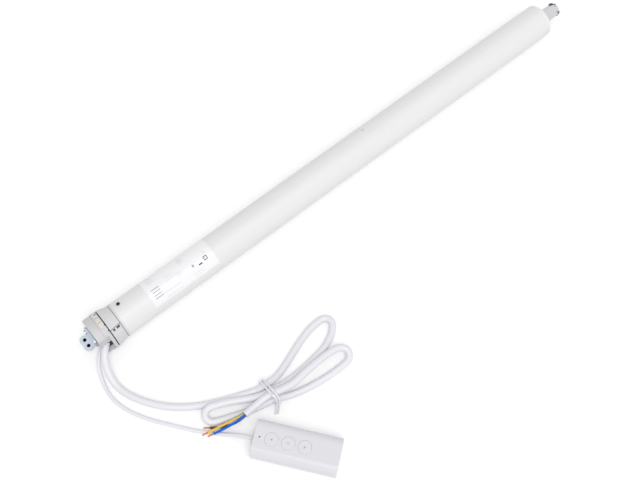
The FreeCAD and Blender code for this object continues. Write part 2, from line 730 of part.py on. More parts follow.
def rotor():
    """Motor shaft with its rotor core, the brake's disc and the first sun on its end."""
    core_x = CAN_X + ROTOR_IN
    shaft = rod(BRAKE_X + 2, STAGE_1_X + FACE_W, MOTOR_SHAFT_R)
    core = rod(core_x, core_x + ROTOR_LEN, ROTOR_R)
    sun = gear(STAGE_1_X, FACE_W, SUN_TEETH)
    return shaft.fuse(core).fuse(sun)


def brake_disc():
    return sleeve(BRAKE_X + DISC_IN, BRAKE_X + DISC_IN + DISC_T, BRAKE_R - 2, MOTOR_SHAFT_R + SEAT_FIT)


def brake_coil():
    coil_x = BRAKE_X + DISC_IN + DISC_T + DISC_GAP
    body = sleeve(coil_x, coil_x + COIL_LEN, BRAKE_R, MOTOR_SHAFT_R + COIL_BORE)
    flange = sleeve(coil_x + COIL_LEN, CAN_X, INNER_R, MOTOR_SHAFT_R + COIL_BORE)
    return body.fuse(flange)


def motor_can():
    shell = sleeve(CAN_X, CAN_X + CAN_LEN, INNER_R, INNER_R - CAN_WALL)
    for x in (CAN_X, CAN_X + CAN_LEN - SMALL_BEARING_LEN - 1):
        shell = shell.fuse(sleeve(x, x + SMALL_BEARING_LEN + 1, INNER_R, SMALL_BEARING_R + SEAT_FIT))
    return shell


def stator():
    x0 = CAN_X + ROTOR_IN - STATOR_OVER
    return sleeve(x0, x0 + ROTOR_LEN + 2 * STATOR_OVER, INNER_R - CAN_WALL - SEAT_FIT, ROTOR_R + STATOR_GAP)


def rotor_bearings():
    shapes = []
    for x in (CAN_X + 0.5, CAN_X + CAN_LEN - SMALL_BEARING_LEN - 0.5):
        shapes.append(sleeve(x, x + SMALL_BEARING_LEN, SMALL_BEARING_R, MOTOR_SHAFT_R + RUN_FIT))
    return shapes


def planet(stage_x, angle, y, z):
    """A planet with a gap towards the sun and the ring."""
    turn = angle + math.pi / PLANET_TEETH
    body = gear(stage_x, FACE_W, PLANET_TEETH, y, z, turn)
    return body.cut(rod(stage_x - 1, stage_x + FACE_W + 1, PIN_R + RUN_FIT, y, z))


def carrier(stage_x, bore):
    """A plate beside a stage with a pin for each planet."""
    x0 = stage_x + FACE_W + 0.5
    plate = rod(x0, x0 + CARRIER_T, CARRIER_R)
    for angle, y, z in planet_spots():
        plate = plate.fuse(rod(stage_x, x0 + 0.5, PIN_R, y, z))
    if bore:
        plate = plate.cut(rod(x0 - 1, x0 + CARRIER_T + 1, bore))
    return plate


def first_carrier():
    x0 = STAGE_1_X + FACE_W + 0.5 + CARRIER_T
    neck = rod(x0, STAGE_2_X, 3.0)
    sun = gear(STAGE_2_X, FACE_W, SUN_TEETH)
    return carrier(STAGE_1_X, 0).fuse(neck).fuse(sun)


def half_chord(z):
    return math.sqrt(TUBE_BORE_R ** 2 - z ** 2)


def motor_board():
    half = half_chord(BOARD_Z - BOARD_T) - 0.15
    return block(BOARD_X, BOARD_X + BOARD_LEN, -half, half, BOARD_Z - BOARD_T, BOARD_Z)


def board_capacitor():
    x0 = BOARD_X + CAPACITOR_IN
    return rod(x0, x0 + CAPACITOR_LEN, CAPACITOR_R, 0, BOARD_Z + CAPACITOR_R + 0.05)


def board_relays():
    dx, dy, dz = RELAY
    shapes = []
    for i in range(2):
        x0 = BOARD_X + RELAY_IN + i * (dx + RELAY_GAP)
        shapes.append(block(x0, x0 + dx, -dy / 2, dy / 2, BOARD_Z, BOARD_Z + dz))
    return shapes


def board_terminal():
    dx, dy, dz = TERMINAL
    x0 = BOARD_X + TERMINAL_IN
    body = block(x0, x0 + dx, -dy / 2, dy / 2, BOARD_Z, BOARD_Z + dz)
    for y in (-TERMINAL_PITCH, 0, TERMINAL_PITCH):
        body = body.cut(rod(x0 - 1, x0 + 6, 1.6, y, BOARD_Z + 4))
    return body


def closed_loop(corners, radius):
    """A wire bent into a closed loop with rounded corners."""
    points = [Vector(*p) for p in corners]
    count = len(points)
    edges = []
    arcs = []
    for i in range(count):
        u = (points[i] - points[i - 1]).normalize()
        v = (points[(i + 1) % count] - points[i]).normalize()
        half = math.acos(u.dot(v)) / 2
        reach = TIE_BEND * math.tan(half)
        inward = Vector(v - u).normalize()
        centre = points[i] + inward * (TIE_BEND / math.cos(half))
        arcs.append((points[i] - u * reach, centre - inward * TIE_BEND, points[i] + v * reach))
    for i in range(count):
        edges.append(Part.Arc(*arcs[i]).toShape())
        edges.append(Part.LineSegment(arcs[i][2], arcs[(i + 1) % count][0]).toShape())
    wire = Part.Wire(edges)
    start = arcs[0][0]
    ring = Part.Wire([Part.makeCircle(radius, start, (points[0] - points[-1]).normalize())])
    pipe = wire.makePipeShell([ring], True, False)
    return pipe if pipe.ShapeType == "Solid" else Part.Solid(pipe)


def cord_tie():
    """Two turns of covered wire round the bundle, and the twisted tail."""
    r = TIE_D / 2
    gap = CORD_D / 2 + TIE_GAP + r
    low = FLOOR + r + 0.02
    left_y = TIE_Y_FIRST + gap
    right_y = TIE_Y_LAST - gap
    top_z = TIE_Z_TOP + gap
    ring = [(left_y, low), (right_y, low), (right_y, CORD_TIED + 1.5), (TIE_Y_TOP - gap + 0.6, top_z),
            (TIE_Y_TOP + gap - 1.6, top_z), (left_y, CORD_TIED + gap - 1.6)]
    shapes = []
    for x in (TIE_X - TIE_PITCH / 2, TIE_X + TIE_PITCH / 2):
        shapes.append(closed_loop([(x, y, z) for y, z in ring], r))
    for i, route in enumerate(TAIL_ROUTES):
        shapes.append(cord_solid("tie tail %d" % (i + 1), route, TIE_D)[0])
    return shapes


def core_copper(route):
    """The bare strand beyond a core's insulation."""
    run = heading(route, len(route) - 2)
    return along(route[-1], run, COPPER_LEN, COPPER_D / 2)


def box_place(shape):
    """Move a piece of the control box from its own s, t, h to where it lies."""
    x, y = BOX_SOCKET_END
    placed = shape.copy()
    placed.Placement = Placement(Vector(x, y, FLOOR), Rotation(Z_AXIS, BOX_YAW)).multiply(placed.Placement)
    return placed


def box_point(s, t, h):
    """A point of the control box in the part's frame."""
    x, y = BOX_SOCKET_END
    point = Placement(Vector(x, y, FLOOR), Rotation(Z_AXIS, BOX_YAW)).multVec(Vector(s, t, h))
    return (point.x, point.y, point.z)


def rounded_bar(s0, s1, inset, corner, edge):
    """A bar along s with the box's rounded section, drawn in by inset."""
    bar = block(s0, s1, -BOX_W / 2 + inset, BOX_W / 2 - inset, inset, BOX_T - inset)
    long_edges = [e for e in bar.Edges if abs(e.Vertexes[0].X - e.Vertexes[-1].X) > 1]
    bar = bar.makeFillet(corner, long_edges)
    if edge:
        ends = [e for e in bar.Edges if abs(e.BoundBox.XMax - e.BoundBox.XMin) < 0.01]
        bar = bar.makeFillet(edge, ends)
    return bar


def post_spots():
    return [(s, t) for s in (POST_FIRST, BOX_LEN - POST_END) for t in (-POST_T, POST_T)]


def upright_rod(s, t, h0, h1, r):
    return Part.makeCylinder(r, h1 - h0, Vector(s, t, h0), Z_AXIS)


def button_spots():
    return [BUTTON_FIRST + i * BUTTON_PITCH for i in range(3)]


def box_shell():
    outer = rounded_bar(0, BOX_LEN, 0, BOX_CORNER, BOX_EDGE)
    inner = rounded_bar(BOX_WALL, BOX_LEN - BOX_WALL, BOX_WALL, BOX_CORNER - BOX_WALL, 0)
    shell = outer.cut(inner)
    opening = block(-1, BOX_WALL + 1, -SOCKET_W / 2, SOCKET_W / 2, SOCKET_LOW, SOCKET_LOW + SOCKET_H)
    return shell.cut(opening), inner


def seam_lip(inner, gap):
    """The lip of the back shell that stands inside the front shell."""
    upper = block(-1, BOX_LEN + 1, -BOX_W, BOX_W, SEAM_H - 0.5, SEAM_H + LIP_H)
    root = block(-1, BOX_LEN + 1, -BOX_W, BOX_W, SEAM_H - 1.5, SEAM_H)
    core = rounded_bar(BOX_WALL + LIP_W, BOX_LEN - BOX_WALL - LIP_W, BOX_WALL + LIP_W,
                       BOX_CORNER - BOX_WALL - LIP_W, 0)
    keep = rounded_bar(BOX_WALL + gap, BOX_LEN - BOX_WALL - gap, BOX_WALL + gap,
                       BOX_CORNER - BOX_WALL - gap, 0)
    return upper.common(keep).fuse(inner.common(root)).cut(core)


def front_shell():
    shell, inner = box_shell()
    front = shell.common(block(-1, BOX_LEN + 1, -BOX_W, BOX_W, SEAM_H + 0.12, BOX_T + 1))
    under = CBOARD_H + CBOARD_T
    for s, t in post_spots():
        boss = upright_rod(s, t, under, BOX_T - BOX_WALL / 2, POST_R).common(
            rounded_bar(1, BOX_LEN - 1, 1, BOX_CORNER - 1, 0))
        front = front.fuse(boss)
        front = front.cut(upright_rod(s, t, under - 1, under + 2.4, CASE_SCREW_R))
    for s in button_spots():
        front = front.cut(upright_rod(s, 0, BOX_T - BOX_WALL - 1, BOX_T + 1, BUTTON_R + BUTTON_GAP))
    front = front.cut(upright_rod(LAMP_S, 0, BOX_T - BOX_WALL - 1, BOX_T + 1, LAMP_R + SEAT_FIT))
    return front


def back_shell():
    shell, inner = box_shell()
    back = shell.common(block(-1, BOX_LEN + 1, -BOX_W, BOX_W, -1, SEAM_H))
    lip = seam_lip(inner, 0.1)
    lip = lip.cut(block(-1, BOX_WALL + 2, -SOCKET_W / 2 - 1.5, SOCKET_W / 2 + 1.5, 0, BOX_T))
    back = back.fuse(lip)
    for s, t in post_spots():
        post = upright_rod(s, t, BOX_WALL / 2, CBOARD_H, POST_R).common(
            rounded_bar(1, BOX_LEN - 1, 1, BOX_CORNER - 1, 0))
        back = back.fuse(post)
        back = back.cut(upright_rod(s, t, -1, CBOARD_H + 1, CASE_SCREW_R + RUN_FIT))
        back = back.cut(upright_rod(s, t, -1, CASE_SCREW_IN, CASE_SCREW_HEAD_R + RUN_FIT))
    return back


def key_flange_top():
    return BOX_T - BOX_WALL - 2 * RUN_FIT


def button(s):
    """A round key with a flange that keeps it in its hole."""
    flange_top = key_flange_top()
    flange = upright_rod(s, 0, flange_top - BUTTON_FLANGE_T, flange_top, BUTTON_R + BUTTON_FLANGE)
    cap = upright_rod(s, 0, flange_top - BUTTON_FLANGE_T, BOX_T + BUTTON_PROUD, BUTTON_R)
    rim = [e for e in cap.Edges if e.BoundBox.ZMin > BOX_T]
    cap = cap.makeFillet(0.3, rim)
    return cap.fuse(flange)


def status_lens():
    board_top = CBOARD_H + CBOARD_T
    return upright_rod(LAMP_S, 0, board_top + 0.3, BOX_T, LAMP_R)


def jack_body():
    """Modular socket with its mouth at the box's end and a latch way below."""
    low = SOCKET_LOW - 0.2
    body = block(BOX_WALL, BOX_WALL + JACK_LEN, -SOCKET_W / 2 - 1, SOCKET_W / 2 + 1, low, CBOARD_H)
    mouth_low = SOCKET_MID - PLUG_H / 2 - 0.2
    mouth = block(0, BOX_WALL + JACK_LEN - 1.5, -PLUG_W / 2 - 0.15, PLUG_W / 2 + 0.15, mouth_low,
                  mouth_low + PLUG_H + 0.9)
    latch = block(0, BOX_WALL + 10, -3.1, 3.1, SOCKET_LOW + 0.5, mouth_low + 1)
    return body.cut(mouth).cut(latch)


def contact_spots():
    return [(i - (CONTACTS - 1) / 2) * CONTACT_PITCH for i in range(CONTACTS)]


def jack_contacts():
    roof = SOCKET_MID + PLUG_H / 2 + 0.7
    return [block(BOX_WALL + 3, BOX_WALL + JACK_LEN - 1.5, t - CONTACT_W / 2, t + CONTACT_W / 2,
                  roof - 0.35, roof)
            for t in contact_spots()]


def data_plug():
    """Clear modular plug with its latch below, the cord square in its back face."""
    body = block(-PLUG_OUT, PLUG_LEN - PLUG_OUT, -PLUG_W / 2, PLUG_W / 2, SOCKET_MID - PLUG_H / 2,
                 SOCKET_MID + PLUG_H / 2)
    for t in contact_spots():
        slot = block(PLUG_LEN - PLUG_OUT - 5, PLUG_LEN, t - CONTACT_W / 2, t + CONTACT_W / 2,
                     SOCKET_MID + PLUG_H / 2 - 1.5, SOCKET_MID + PLUG_H)
        body = body.cut(slot)
    latch = block(-PLUG_OUT, LATCH_LEN - PLUG_OUT, -LATCH_W / 2, LATCH_W / 2, SOCKET_MID - PLUG_H / 2 - 1.0,
                  SOCKET_MID - PLUG_H / 2)
    return body.fuse(latch)


def plug_contacts():
    x1 = PLUG_LEN - PLUG_OUT
    top = SOCKET_MID + PLUG_H / 2
    return [block(x1 - 4.5, x1 - 0.3, t - CONTACT_W / 2 + 0.05, t + CONTACT_W / 2 - 0.05, top - 1.5,
                  top - 0.3)
            for t in contact_spots()]


def control_board():
    end = BOX_WALL + CBOARD_END
    board = block(end, BOX_LEN - end, -CBOARD_W / 2, CBOARD_W / 2, CBOARD_H, CBOARD_H + CBOARD_T)
    for s, t in post_spots():
        board = board.cut(upright_rod(s, t, CBOARD_H - 1, CBOARD_H + 3, CASE_SCREW_R + RUN_FIT))
    return board


def key_switches():
    """A small switch under each key, its plunger just short of the key's travel."""
    top = CBOARD_H + CBOARD_T
    reach = key_flange_top() - BUTTON_FLANGE_T - BUTTON_TRAVEL - RUN_FIT
    half = SWITCH_W / 2
    return [block(s - half, s + half, -half, half, top, top + SWITCH_T).fuse(
        upright_rod(s, 0, top, reach, SWITCH_PIN_R)) for s in button_spots()]


def radio_module():
    s1 = BOX_LEN - RADIO_END
    return block(s1 - RADIO_LEN, s1, -RADIO_W / 2, RADIO_W / 2, CBOARD_H - RADIO_T, CBOARD_H)


def case_screws():
    shapes = []
    for s, t in post_spots():
        head = upright_rod(s, t, CASE_SCREW_IN - 0.9, CASE_SCREW_IN, CASE_SCREW_HEAD_R)
        slot = block(s - 1.4, s + 1.4, t - 0.25, t + 0.25, 0, CASE_SCREW_IN - 0.5)
        shank = upright_rod(s, t, CASE_SCREW_IN, CBOARD_H + CBOARD_T + 2.2, CASE_SCREW_R - SEAT_FIT)
        shapes.append(head.fuse(shank).cut(slot))
    return shapes


def save_motor():
    save("motor_tube", motor_tube())
    save("rating_label", rating_label())
    save("head_body", head_body())
    save("head_window", window_pocket())
    save("head_bracket", head_bracket())
    save("bracket_screws", bracket_screws())
    save("bracket_nuts", bracket_nuts())
    save("cord_clamp", cord_clamp())
    save("crown_ring", crown_ring())
    save("crown_key", crown_key())
    save("crown_washer", crown_washer())
    save("crown_stop_ring", crown_stop_ring())
    save("tube_collar", tube_collar())
    save("head_screws", head_screws())
    save("end_plug", end_plug())
    save("output_bearing", output_bearing())
    save("drive_shaft", drive_shaft())
    save("shaft_clip", shaft_clip())
    save("motor_board", motor_board())
    save("board_capacitor", board_capacitor())
    save("board_relays", board_relays())
    save("board_terminal", board_terminal())


def save_drive():
    save("motor_can", motor_can())
    save("stator", stator())
    save("rotor", rotor())
    save("rotor_bearings", rotor_bearings())
    save("brake_disc", brake_disc())
    save("brake_coil", brake_coil())
    save("ring_gear", ring_gear())
    save("first_carrier", first_carrier())
    save("second_carrier", carrier(STAGE_2_X, 0))
    for stage, stage_x in ((1, STAGE_1_X), (2, STAGE_2_X)):
        for i, (angle, y, z) in enumerate(planet_spots()):
            save("planet_%d_%s" % (stage, "abc"[i]), planet(stage_x, angle, y, z))


def save_cords():
    lead, lead_wire = cord_solid("power_cord_lead", LEAD_ROUTE, CORD_D)
    hank, hank_wire = cord_solid("power_cord_hank", HANK_ROUTE, CORD_D)
    plug_back = box_point(-PLUG_OUT, 0, SOCKET_MID)
    before = box_point(-PLUG_OUT - 8.0, 0, SOCKET_MID)
    data, data_wire = cord_solid("data_cord", DATA_ROUTE + [before, plug_back], DATA_D)
    self_gap("power_cord_hank", hank_wire, CORD_D)
    wire_gap("lead", lead_wire, "data", data_wire, (CORD_D + DATA_D) / 2)
    wire_gap("hank", hank_wire, "data", data_wire, (CORD_D + DATA_D) / 2)
    save("power_cord_lead", lead)
    save("power_cord_hank", hank)
    save("data_cord", data)
    cores = {}
    for name, route in CORE_ROUTES.items():
        solid, wire = cord_solid(name, route, CORE_D)
        cores[name] = wire
        wire_gap(name, wire, "data", data_wire, (CORE_D + DATA_D) / 2)
        save(name, solid)
    names = list(cores)
    for i in range(len(names)):
        for j in range(i + 1, len(names)):
            wire_gap(names[i], cores[names[i]], names[j], cores[names[j]], CORE_D)
    save("core_tips", [core_copper(route) for route in CORE_ROUTES.values()])
    save("cord_tie", cord_tie())


def save_box():
    pieces = {
        "front_shell": front_shell(), "back_shell": back_shell(), "status_lens": status_lens(),
        "jack_body": jack_body(), "data_plug": data_plug(), "control_board": control_board(),
        "radio_module": radio_module(),
    }
    for name, s in zip(("up_button", "pause_button", "down_button"), button_spots()):
        pieces[name] = button(s)
    for name, shape in pieces.items():
        save(name, box_place(shape))
    groups = {
        "jack_contacts": jack_contacts(), "plug_contacts": plug_contacts(),
        "key_switches": key_switches(), "case_screws": case_screws(),
    }
    for name, shapes in groups.items():
        save(name, [box_place(shape) for shape in shapes])


os.makedirs(PARTS, exist_ok=True)
save_motor()
save_drive()
save_cords()
save_box()
print("files", len(os.listdir(PARTS)))
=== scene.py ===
# %% [markdown]
# A roller shade controller: a tubular motor, the mains cord that comes with it and its small wired control
# box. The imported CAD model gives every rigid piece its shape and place. This lesson adds what a CAD solid
# can't hold: soft cords, printing, fine marks and the finish of each surface. Blender's lengths are metres,
# and the sizes written here are millimetres, so each is multiplied by MM where Blender takes it.

# %% Load the frame
import bpy
import bmesh
import math
from mathutils import Matrix, Vector


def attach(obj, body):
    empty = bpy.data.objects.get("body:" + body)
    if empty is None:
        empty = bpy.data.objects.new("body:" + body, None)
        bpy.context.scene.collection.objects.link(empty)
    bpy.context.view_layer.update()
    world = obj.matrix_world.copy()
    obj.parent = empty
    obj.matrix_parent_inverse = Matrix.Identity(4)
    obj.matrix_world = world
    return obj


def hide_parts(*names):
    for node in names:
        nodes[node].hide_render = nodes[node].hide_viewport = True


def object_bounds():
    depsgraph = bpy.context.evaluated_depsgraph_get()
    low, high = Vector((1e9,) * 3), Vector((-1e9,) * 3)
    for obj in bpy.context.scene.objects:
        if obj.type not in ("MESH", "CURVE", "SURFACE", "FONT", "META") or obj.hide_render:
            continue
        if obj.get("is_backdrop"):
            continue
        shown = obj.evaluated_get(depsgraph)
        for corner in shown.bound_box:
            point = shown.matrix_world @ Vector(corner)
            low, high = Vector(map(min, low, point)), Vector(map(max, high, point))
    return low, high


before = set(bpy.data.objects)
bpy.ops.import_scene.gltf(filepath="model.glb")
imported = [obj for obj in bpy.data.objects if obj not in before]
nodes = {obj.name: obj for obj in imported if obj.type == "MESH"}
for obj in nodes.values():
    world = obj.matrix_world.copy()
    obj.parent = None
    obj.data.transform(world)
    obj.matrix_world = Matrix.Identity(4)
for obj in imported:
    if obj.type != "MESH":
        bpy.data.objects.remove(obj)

cad_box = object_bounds()

# %% [markdown]
# Sizes that more than one piece needs. They repeat the CAD model's own values. A mains strand's middle lies
# at CORD_LOW on the floor, at CORD_HIGH across other strands, and at CORD_TIED over the tie's wire. The
# control box lies turned on the floor, so a small function turns its own s (along), t (across) and h (up)
# into the scene's x, y and z. KEYS gives each key's place along the box.

# %% Sizes
MM = 0.001
HEAD_R = 19.95
FLOOR = -HEAD_R
TUBE_R = 17.5
TUBE_X = 36.9
LABEL_X = TUBE_X + 33.3
FILM = 0.14
LABEL_R = TUBE_R + FILM
CORD_R = 3.5
CORD_LOW = FLOOR + CORD_R
CORD_HIGH = CORD_LOW + 7.7
CORD_TIED = CORD_LOW + 2.9
DATA_R = 1.9
DATA_LOW = FLOOR + DATA_R
CORE_R = 1.2
TIE_R = 0.9
BOX_END = (69.1, -166.6)
BOX_YAW = math.radians(-51.8)
BOX_T = 23.5
KEYS = {"up_button": 16.75, "pause_button": 32.15, "down_button": 47.55}


def at(x, y, z):
    """A place given in millimetres."""
    return Vector((x * MM, y * MM, z * MM))


def box_at(s, t, h):
    """A point of the control box, in millimetres, as a place in the scene."""
    c, n = math.cos(BOX_YAW), math.sin(BOX_YAW)
    return at(BOX_END[0] + s * c - t * n, BOX_END[1] + s * n + t * c, FLOOR + h)


print("box end", [round(v, 4) for v in box_at(0, 0, 0)])

# %% [markdown]
# The camera looks down at about 67 degrees, turned so that the motor runs from the lower left to the upper
# right. Its place was worked out from the motor's two ends, the tube's width along its length and the box.

# %% Camera
camera_at = at(-14.23, -367.57, 955.37)
heading = math.radians(38.486)
drop = math.radians(67.231)
level = Vector((math.sin(heading), math.cos(heading), 0))
right = Vector((math.cos(heading), -math.sin(heading), 0))
forward = level * math.cos(drop) - Vector((0, 0, 1)) * math.sin(drop)
above = right.cross(forward)
lens = bpy.data.cameras.new("camera")
lens.lens = 60
lens.sensor_width = 36
lens.clip_start, lens.clip_end = 0.05, 20
camera = bpy.data.objects.new("camera", lens)
camera.matrix_world = Matrix.Translation(camera_at) @ Matrix((right, above, -forward)).transposed().to_4x4()
bpy.context.collection.objects.link(camera)
bpy.context.scene.camera = camera
print("camera", [round(v, 3) for v in camera.location])

# %% [markdown]
# Every finish is built from nodes. One function adds a node with its settings and links, one turns a hex
# colour to the linear values that a shader works in, and one starts a material from what the real one is:
# its colour, how rough it was left by its making, and a grain with a real size in millimetres. Roughness
# wanders a little about its value, as no real surface is quite even. Two more lay a second colour over a
# finish and say where a small round spot of it is.

# %% Material helpers
WANDER = 0.06


def linear(text):
    """An sRGB hex colour as linear red, green, blue and alpha."""
    values = [int(text[i:i + 2], 16) / 255 for i in (1, 3, 5)]
    return (*[v / 12.92 if v <= 0.04045 else ((v + 0.055) / 1.055) ** 2.4 for v in values], 1.0)


def add(tree, kind, links=None, **settings):
    """Add a node; links gives each named socket a value or another node's output."""
    made = tree.nodes.new(kind)
    for name, value in settings.items():
        setattr(made, name, value)
    for socket, value in (links or {}).items():
        if isinstance(value, bpy.types.NodeSocket):
            tree.links.new(value, made.inputs[socket])
        else:
            made.inputs[socket].default_value = value
    return made


def finish(name, colour, shade, roughness, grain, depth, metallic=0.0, ior=1.5, stretch=(1, 1, 1),
           mottle=12.0):
    """A material that drifts slowly between two colours, with a grain of a real size in millimetres."""
    material = bpy.data.materials.new(name)
    material.use_nodes = True
    tree = material.node_tree
    shader = tree.nodes["Principled BSDF"]
    shader.inputs["Metallic"].default_value = metallic
    if not metallic:
        shader.inputs["IOR"].default_value = ior
    place = add(tree, "ShaderNodeTexCoord").outputs["Object"]
    place = add(tree, "ShaderNodeMapping", {"Vector": place, "Scale": stretch}).outputs["Vector"]
    drift = add(tree, "ShaderNodeTexNoise", {"Vector": place, "Scale": 1 / (mottle * MM), "Detail": 2.0})
    tint = add(tree, "ShaderNodeMix", {"Factor": drift.outputs["Fac"], "A": linear(colour),
                                       "B": linear(shade)}, data_type="RGBA")
    fine = add(tree, "ShaderNodeTexNoise", {"Vector": place, "Scale": 1 / (grain * MM), "Detail": 3.0})
    spread = add(tree, "ShaderNodeMapRange", {
        "Value": fine.outputs["Fac"], "To Min": roughness - WANDER, "To Max": roughness + WANDER})
    bump = add(tree, "ShaderNodeBump", {
        "Height": fine.outputs["Fac"], "Strength": 1.0, "Distance": depth * MM})
    tree.links.new([o for o in tint.outputs if o.type == "RGBA"][0], shader.inputs["Base Color"])
    tree.links.new(spread.outputs["Result"], shader.inputs["Roughness"])
    tree.links.new(bump.outputs["Normal"], shader.inputs["Normal"])
    return material


def overlay(material, share, colour):
    """Lay a second colour over a finish, where share is 1."""
    tree = material.node_tree
    base = tree.nodes["Principled BSDF"].inputs["Base Color"]
    under = base.links[0].from_socket
    mix = add(tree, "ShaderNodeMix", {0: share}, data_type="RGBA")
    first, second = [i for i in mix.inputs if i.type == "RGBA"]
    tree.links.new(under, first)
    second.default_value = linear(colour)
    tree.links.new([o for o in mix.outputs if o.type == "RGBA"][0], base)


def near(tree, place, centre, inner, outer):
    """1 within the inner radius of a centre and 0 beyond the outer one, with both radii in millimetres."""
    apart = add(tree, "ShaderNodeVectorMath", {0: place, 1: centre}, operation="DISTANCE").outputs["Value"]
    fade = add(tree, "ShaderNodeMapRange", {
        "Value": apart, "From Min": inner * MM, "From Max": outer * MM, "To Min": 1.0, "To Max": 0.0})
    return fade.outputs["Result"]


def paint(material, *names):
    """Give CAD nodes a material."""
    for name in names:
        for slot in nodes[name].material_slots:
            slot.material = material


print("mid grey in linear light", round(linear("#808080")[0], 4))

# %% [markdown]
# The motor's skin. The tube is steel with a satin powder coat, whose slight orange peel has a pitch of about
# a millimetre. Its label is a glossy polyester film, smoother and whiter than the coat. The head and the
# crown are moulded ABS with a spark-eroded grain, a little greyer.

# %% Motor finishes
powder_coat = finish("powder coated steel", "#EAEAEB", "#E7E7E8", 0.42, 0.9, 0.012)
film = finish("polyester label film", "#F7F7F8", "#F3F3F5", 0.26, 3.0, 0.004, mottle=25)
plug_abs = finish("moulded ABS, white", "#F4F3F2", "#EFEEEE", 0.4, 0.35, 0.01)
head_abs = finish("moulded ABS, warm grey", "#D3D2D4", "#CDCCCE", 0.46, 0.35, 0.012)
crown_abs = finish("moulded ABS, mid grey", "#DCDCDD", "#D6D6D8", 0.5, 0.35, 0.014)
cream_pc = finish("cream polycarbonate insert", "#E6DFD9", "#DED8D1", 0.32, 0.6, 0.01)
# This black is also used for the painted shade at the mains cord's cut end.
black_pa_and_shade = finish("black glass-filled nylon and painted shade", "#141416", "#1E1E20", 0.6, 0.3, 0.02)
paint(powder_coat, "motor_tube")
paint(plug_abs, "end_plug")
paint(film, "rating_label")
paint(head_abs, "head_body")
paint(crown_abs, "crown_ring", "crown_key", "crown_stop_ring")
paint(cream_pc, "head_window")
paint(black_pa_and_shade, "cord_clamp", "tube_collar", "jack_body", "crown_washer")
print("finishes so far", len(bpy.data.materials))

# %% [markdown]
# Metal parts. Zinc plating on pressed steel is a cold blue-white with soft rolling marks, so its grain is
# stretched along the part. Screws and bearings are bright steel, the clip is dark spring steel, and the two
# screws in the tube are blackened.

# %% Metal finishes
zinc = finish("zinc plated steel", "#CAD1DB", "#C0C8D3", 0.45, 0.5, 0.01, metallic=1.0,
              stretch=(0.2, 1, 1))
shaft_zinc = finish("zinc plated bar", "#CECED1", "#C5C5C8", 0.42, 0.6, 0.012, metallic=1.0,
                    stretch=(0.15, 1, 1))
bright = finish("bright screw steel", "#B9BCC0", "#A6A9AD", 0.28, 0.3, 0.006, metallic=1.0)
spring = finish("oiled spring steel", "#55565A", "#3D3E41", 0.34, 0.3, 0.006, metallic=1.0)
black_oxide = finish("black oxide steel", "#0E0E10", "#151617", 0.6, 0.3, 0.006)
nut_zinc_and_bore_shade = finish("zinc plated clinch nut with painted bore shade", "#CAD1DB", "#C0C8D3", 0.45, 0.5, 0.01, metallic=1.0)
gold = finish("gold plated contact", "#E2B65A", "#D8A945", 0.22, 0.3, 0.003, metallic=1.0)
laminated = finish("stacked motor sheet", "#7D8085", "#65686D", 0.45, 0.5, 0.02, metallic=1.0,
                   stretch=(3, 0.3, 0.3))
paint(zinc, "head_bracket")
paint(shaft_zinc, "drive_shaft")
paint(bright, "bracket_screws", "case_screws", "motor_can", "output_bearing", "rotor_bearings",
      "first_carrier", "second_carrier", "radio_module", "rotor")
paint(spring, "shaft_clip", "brake_disc", "brake_coil")
paint(gold, "jack_contacts", "plug_contacts")
paint(laminated, "stator")
paint(black_oxide, "head_screws")
paint(nut_zinc_and_bore_shade, "bracket_nuts")
print("finishes so far", len(bpy.data.materials))

# %% [markdown]
# The clinch nuts' threaded bores are painted near black: painted shade for the deep, narrow holes. The two
# holes lie alike on either side of the middle, so the sideways coordinate loses its sign and one distance
# serves for both. They run straight down, so height doesn't count. A point is in a bore when it lies closer
# to that hole's centre than the thread's radius.

# %% Painted shade in the bores
HOLE_SIDE = 3.35
BORE_R = 1.7
BORE_EDGE = 0.02
nut_tree = nut_zinc_and_bore_shade.node_tree
spot = add(nut_tree, "ShaderNodeTexCoord").outputs["Object"]
place = add(nut_tree, "ShaderNodeSeparateXYZ", {0: spot}).outputs
across = add(nut_tree, "ShaderNodeMath", {0: place["Y"]}, operation="ABSOLUTE").outputs[0]
folded = add(nut_tree, "ShaderNodeCombineXYZ", {"X": place["X"], "Y": across}).outputs[0]
bore_shade = near(nut_tree, folded, (0, HOLE_SIDE * MM, 0), BORE_R - BORE_EDGE, BORE_R + BORE_EDGE)
# The bores are painted near black: painted shade for the deep threaded holes.
overlay(nut_zinc_and_bore_shade, bore_shade, "#0C0C0D")
print("bores at", HOLE_SIDE, "mm either side of the middle")

# %% [markdown]
# About half way along, the tube's skin has one shallow punch mark. It is made as a faint grey spot of painted
# shade, about 2.4 mm across, round its centre, in place of a dent.

# %% Punch mark, painted shade
PUNCH = at(338.9, 8.0, 15.56)
PUNCH_CORE, PUNCH_RIM = 0.9, 1.5
coat_tree = powder_coat.node_tree
spot = add(coat_tree, "ShaderNodeTexCoord").outputs["Object"]
# The grey spot is painted shade standing in for the dent.
overlay(powder_coat, near(coat_tree, spot, PUNCH, PUNCH_CORE, PUNCH_RIM), "#C6C6C8")
print("punch mark", [round(v, 4) for v in PUNCH])

# %% [markdown]
# Inside parts. Nobody sees them in the photograph, but they turn up when the model is taken apart: acetal
# gears, a green solder mask and black components.

# %% Inside finishes
acetal = finish("natural acetal", "#E8E2D2", "#DED7C5", 0.4, 0.4, 0.006)
mask = finish("green solder mask", "#1E6B49", "#185A3D", 0.3, 0.5, 0.01)
epoxy = finish("black component epoxy", "#202124", "#2B2C30", 0.5, 0.25, 0.01)
paint(acetal, "ring_gear", "board_terminal", *[n for n in nodes if n.startswith("planet_")])
paint(mask, "motor_board", "control_board")
paint(epoxy, "board_capacitor", "board_relays", "key_switches")
print("finishes so far", len(bpy.data.materials))

# %% [markdown]
# The control box is moulded in satin white ABS, and its keys are a little duller. The plug is clear
# polycarbonate, but so small that it reads as a pale solid, so it isn't made see-through. The lamp behind its
# tiny hole is off, so its light guide is plain grey.

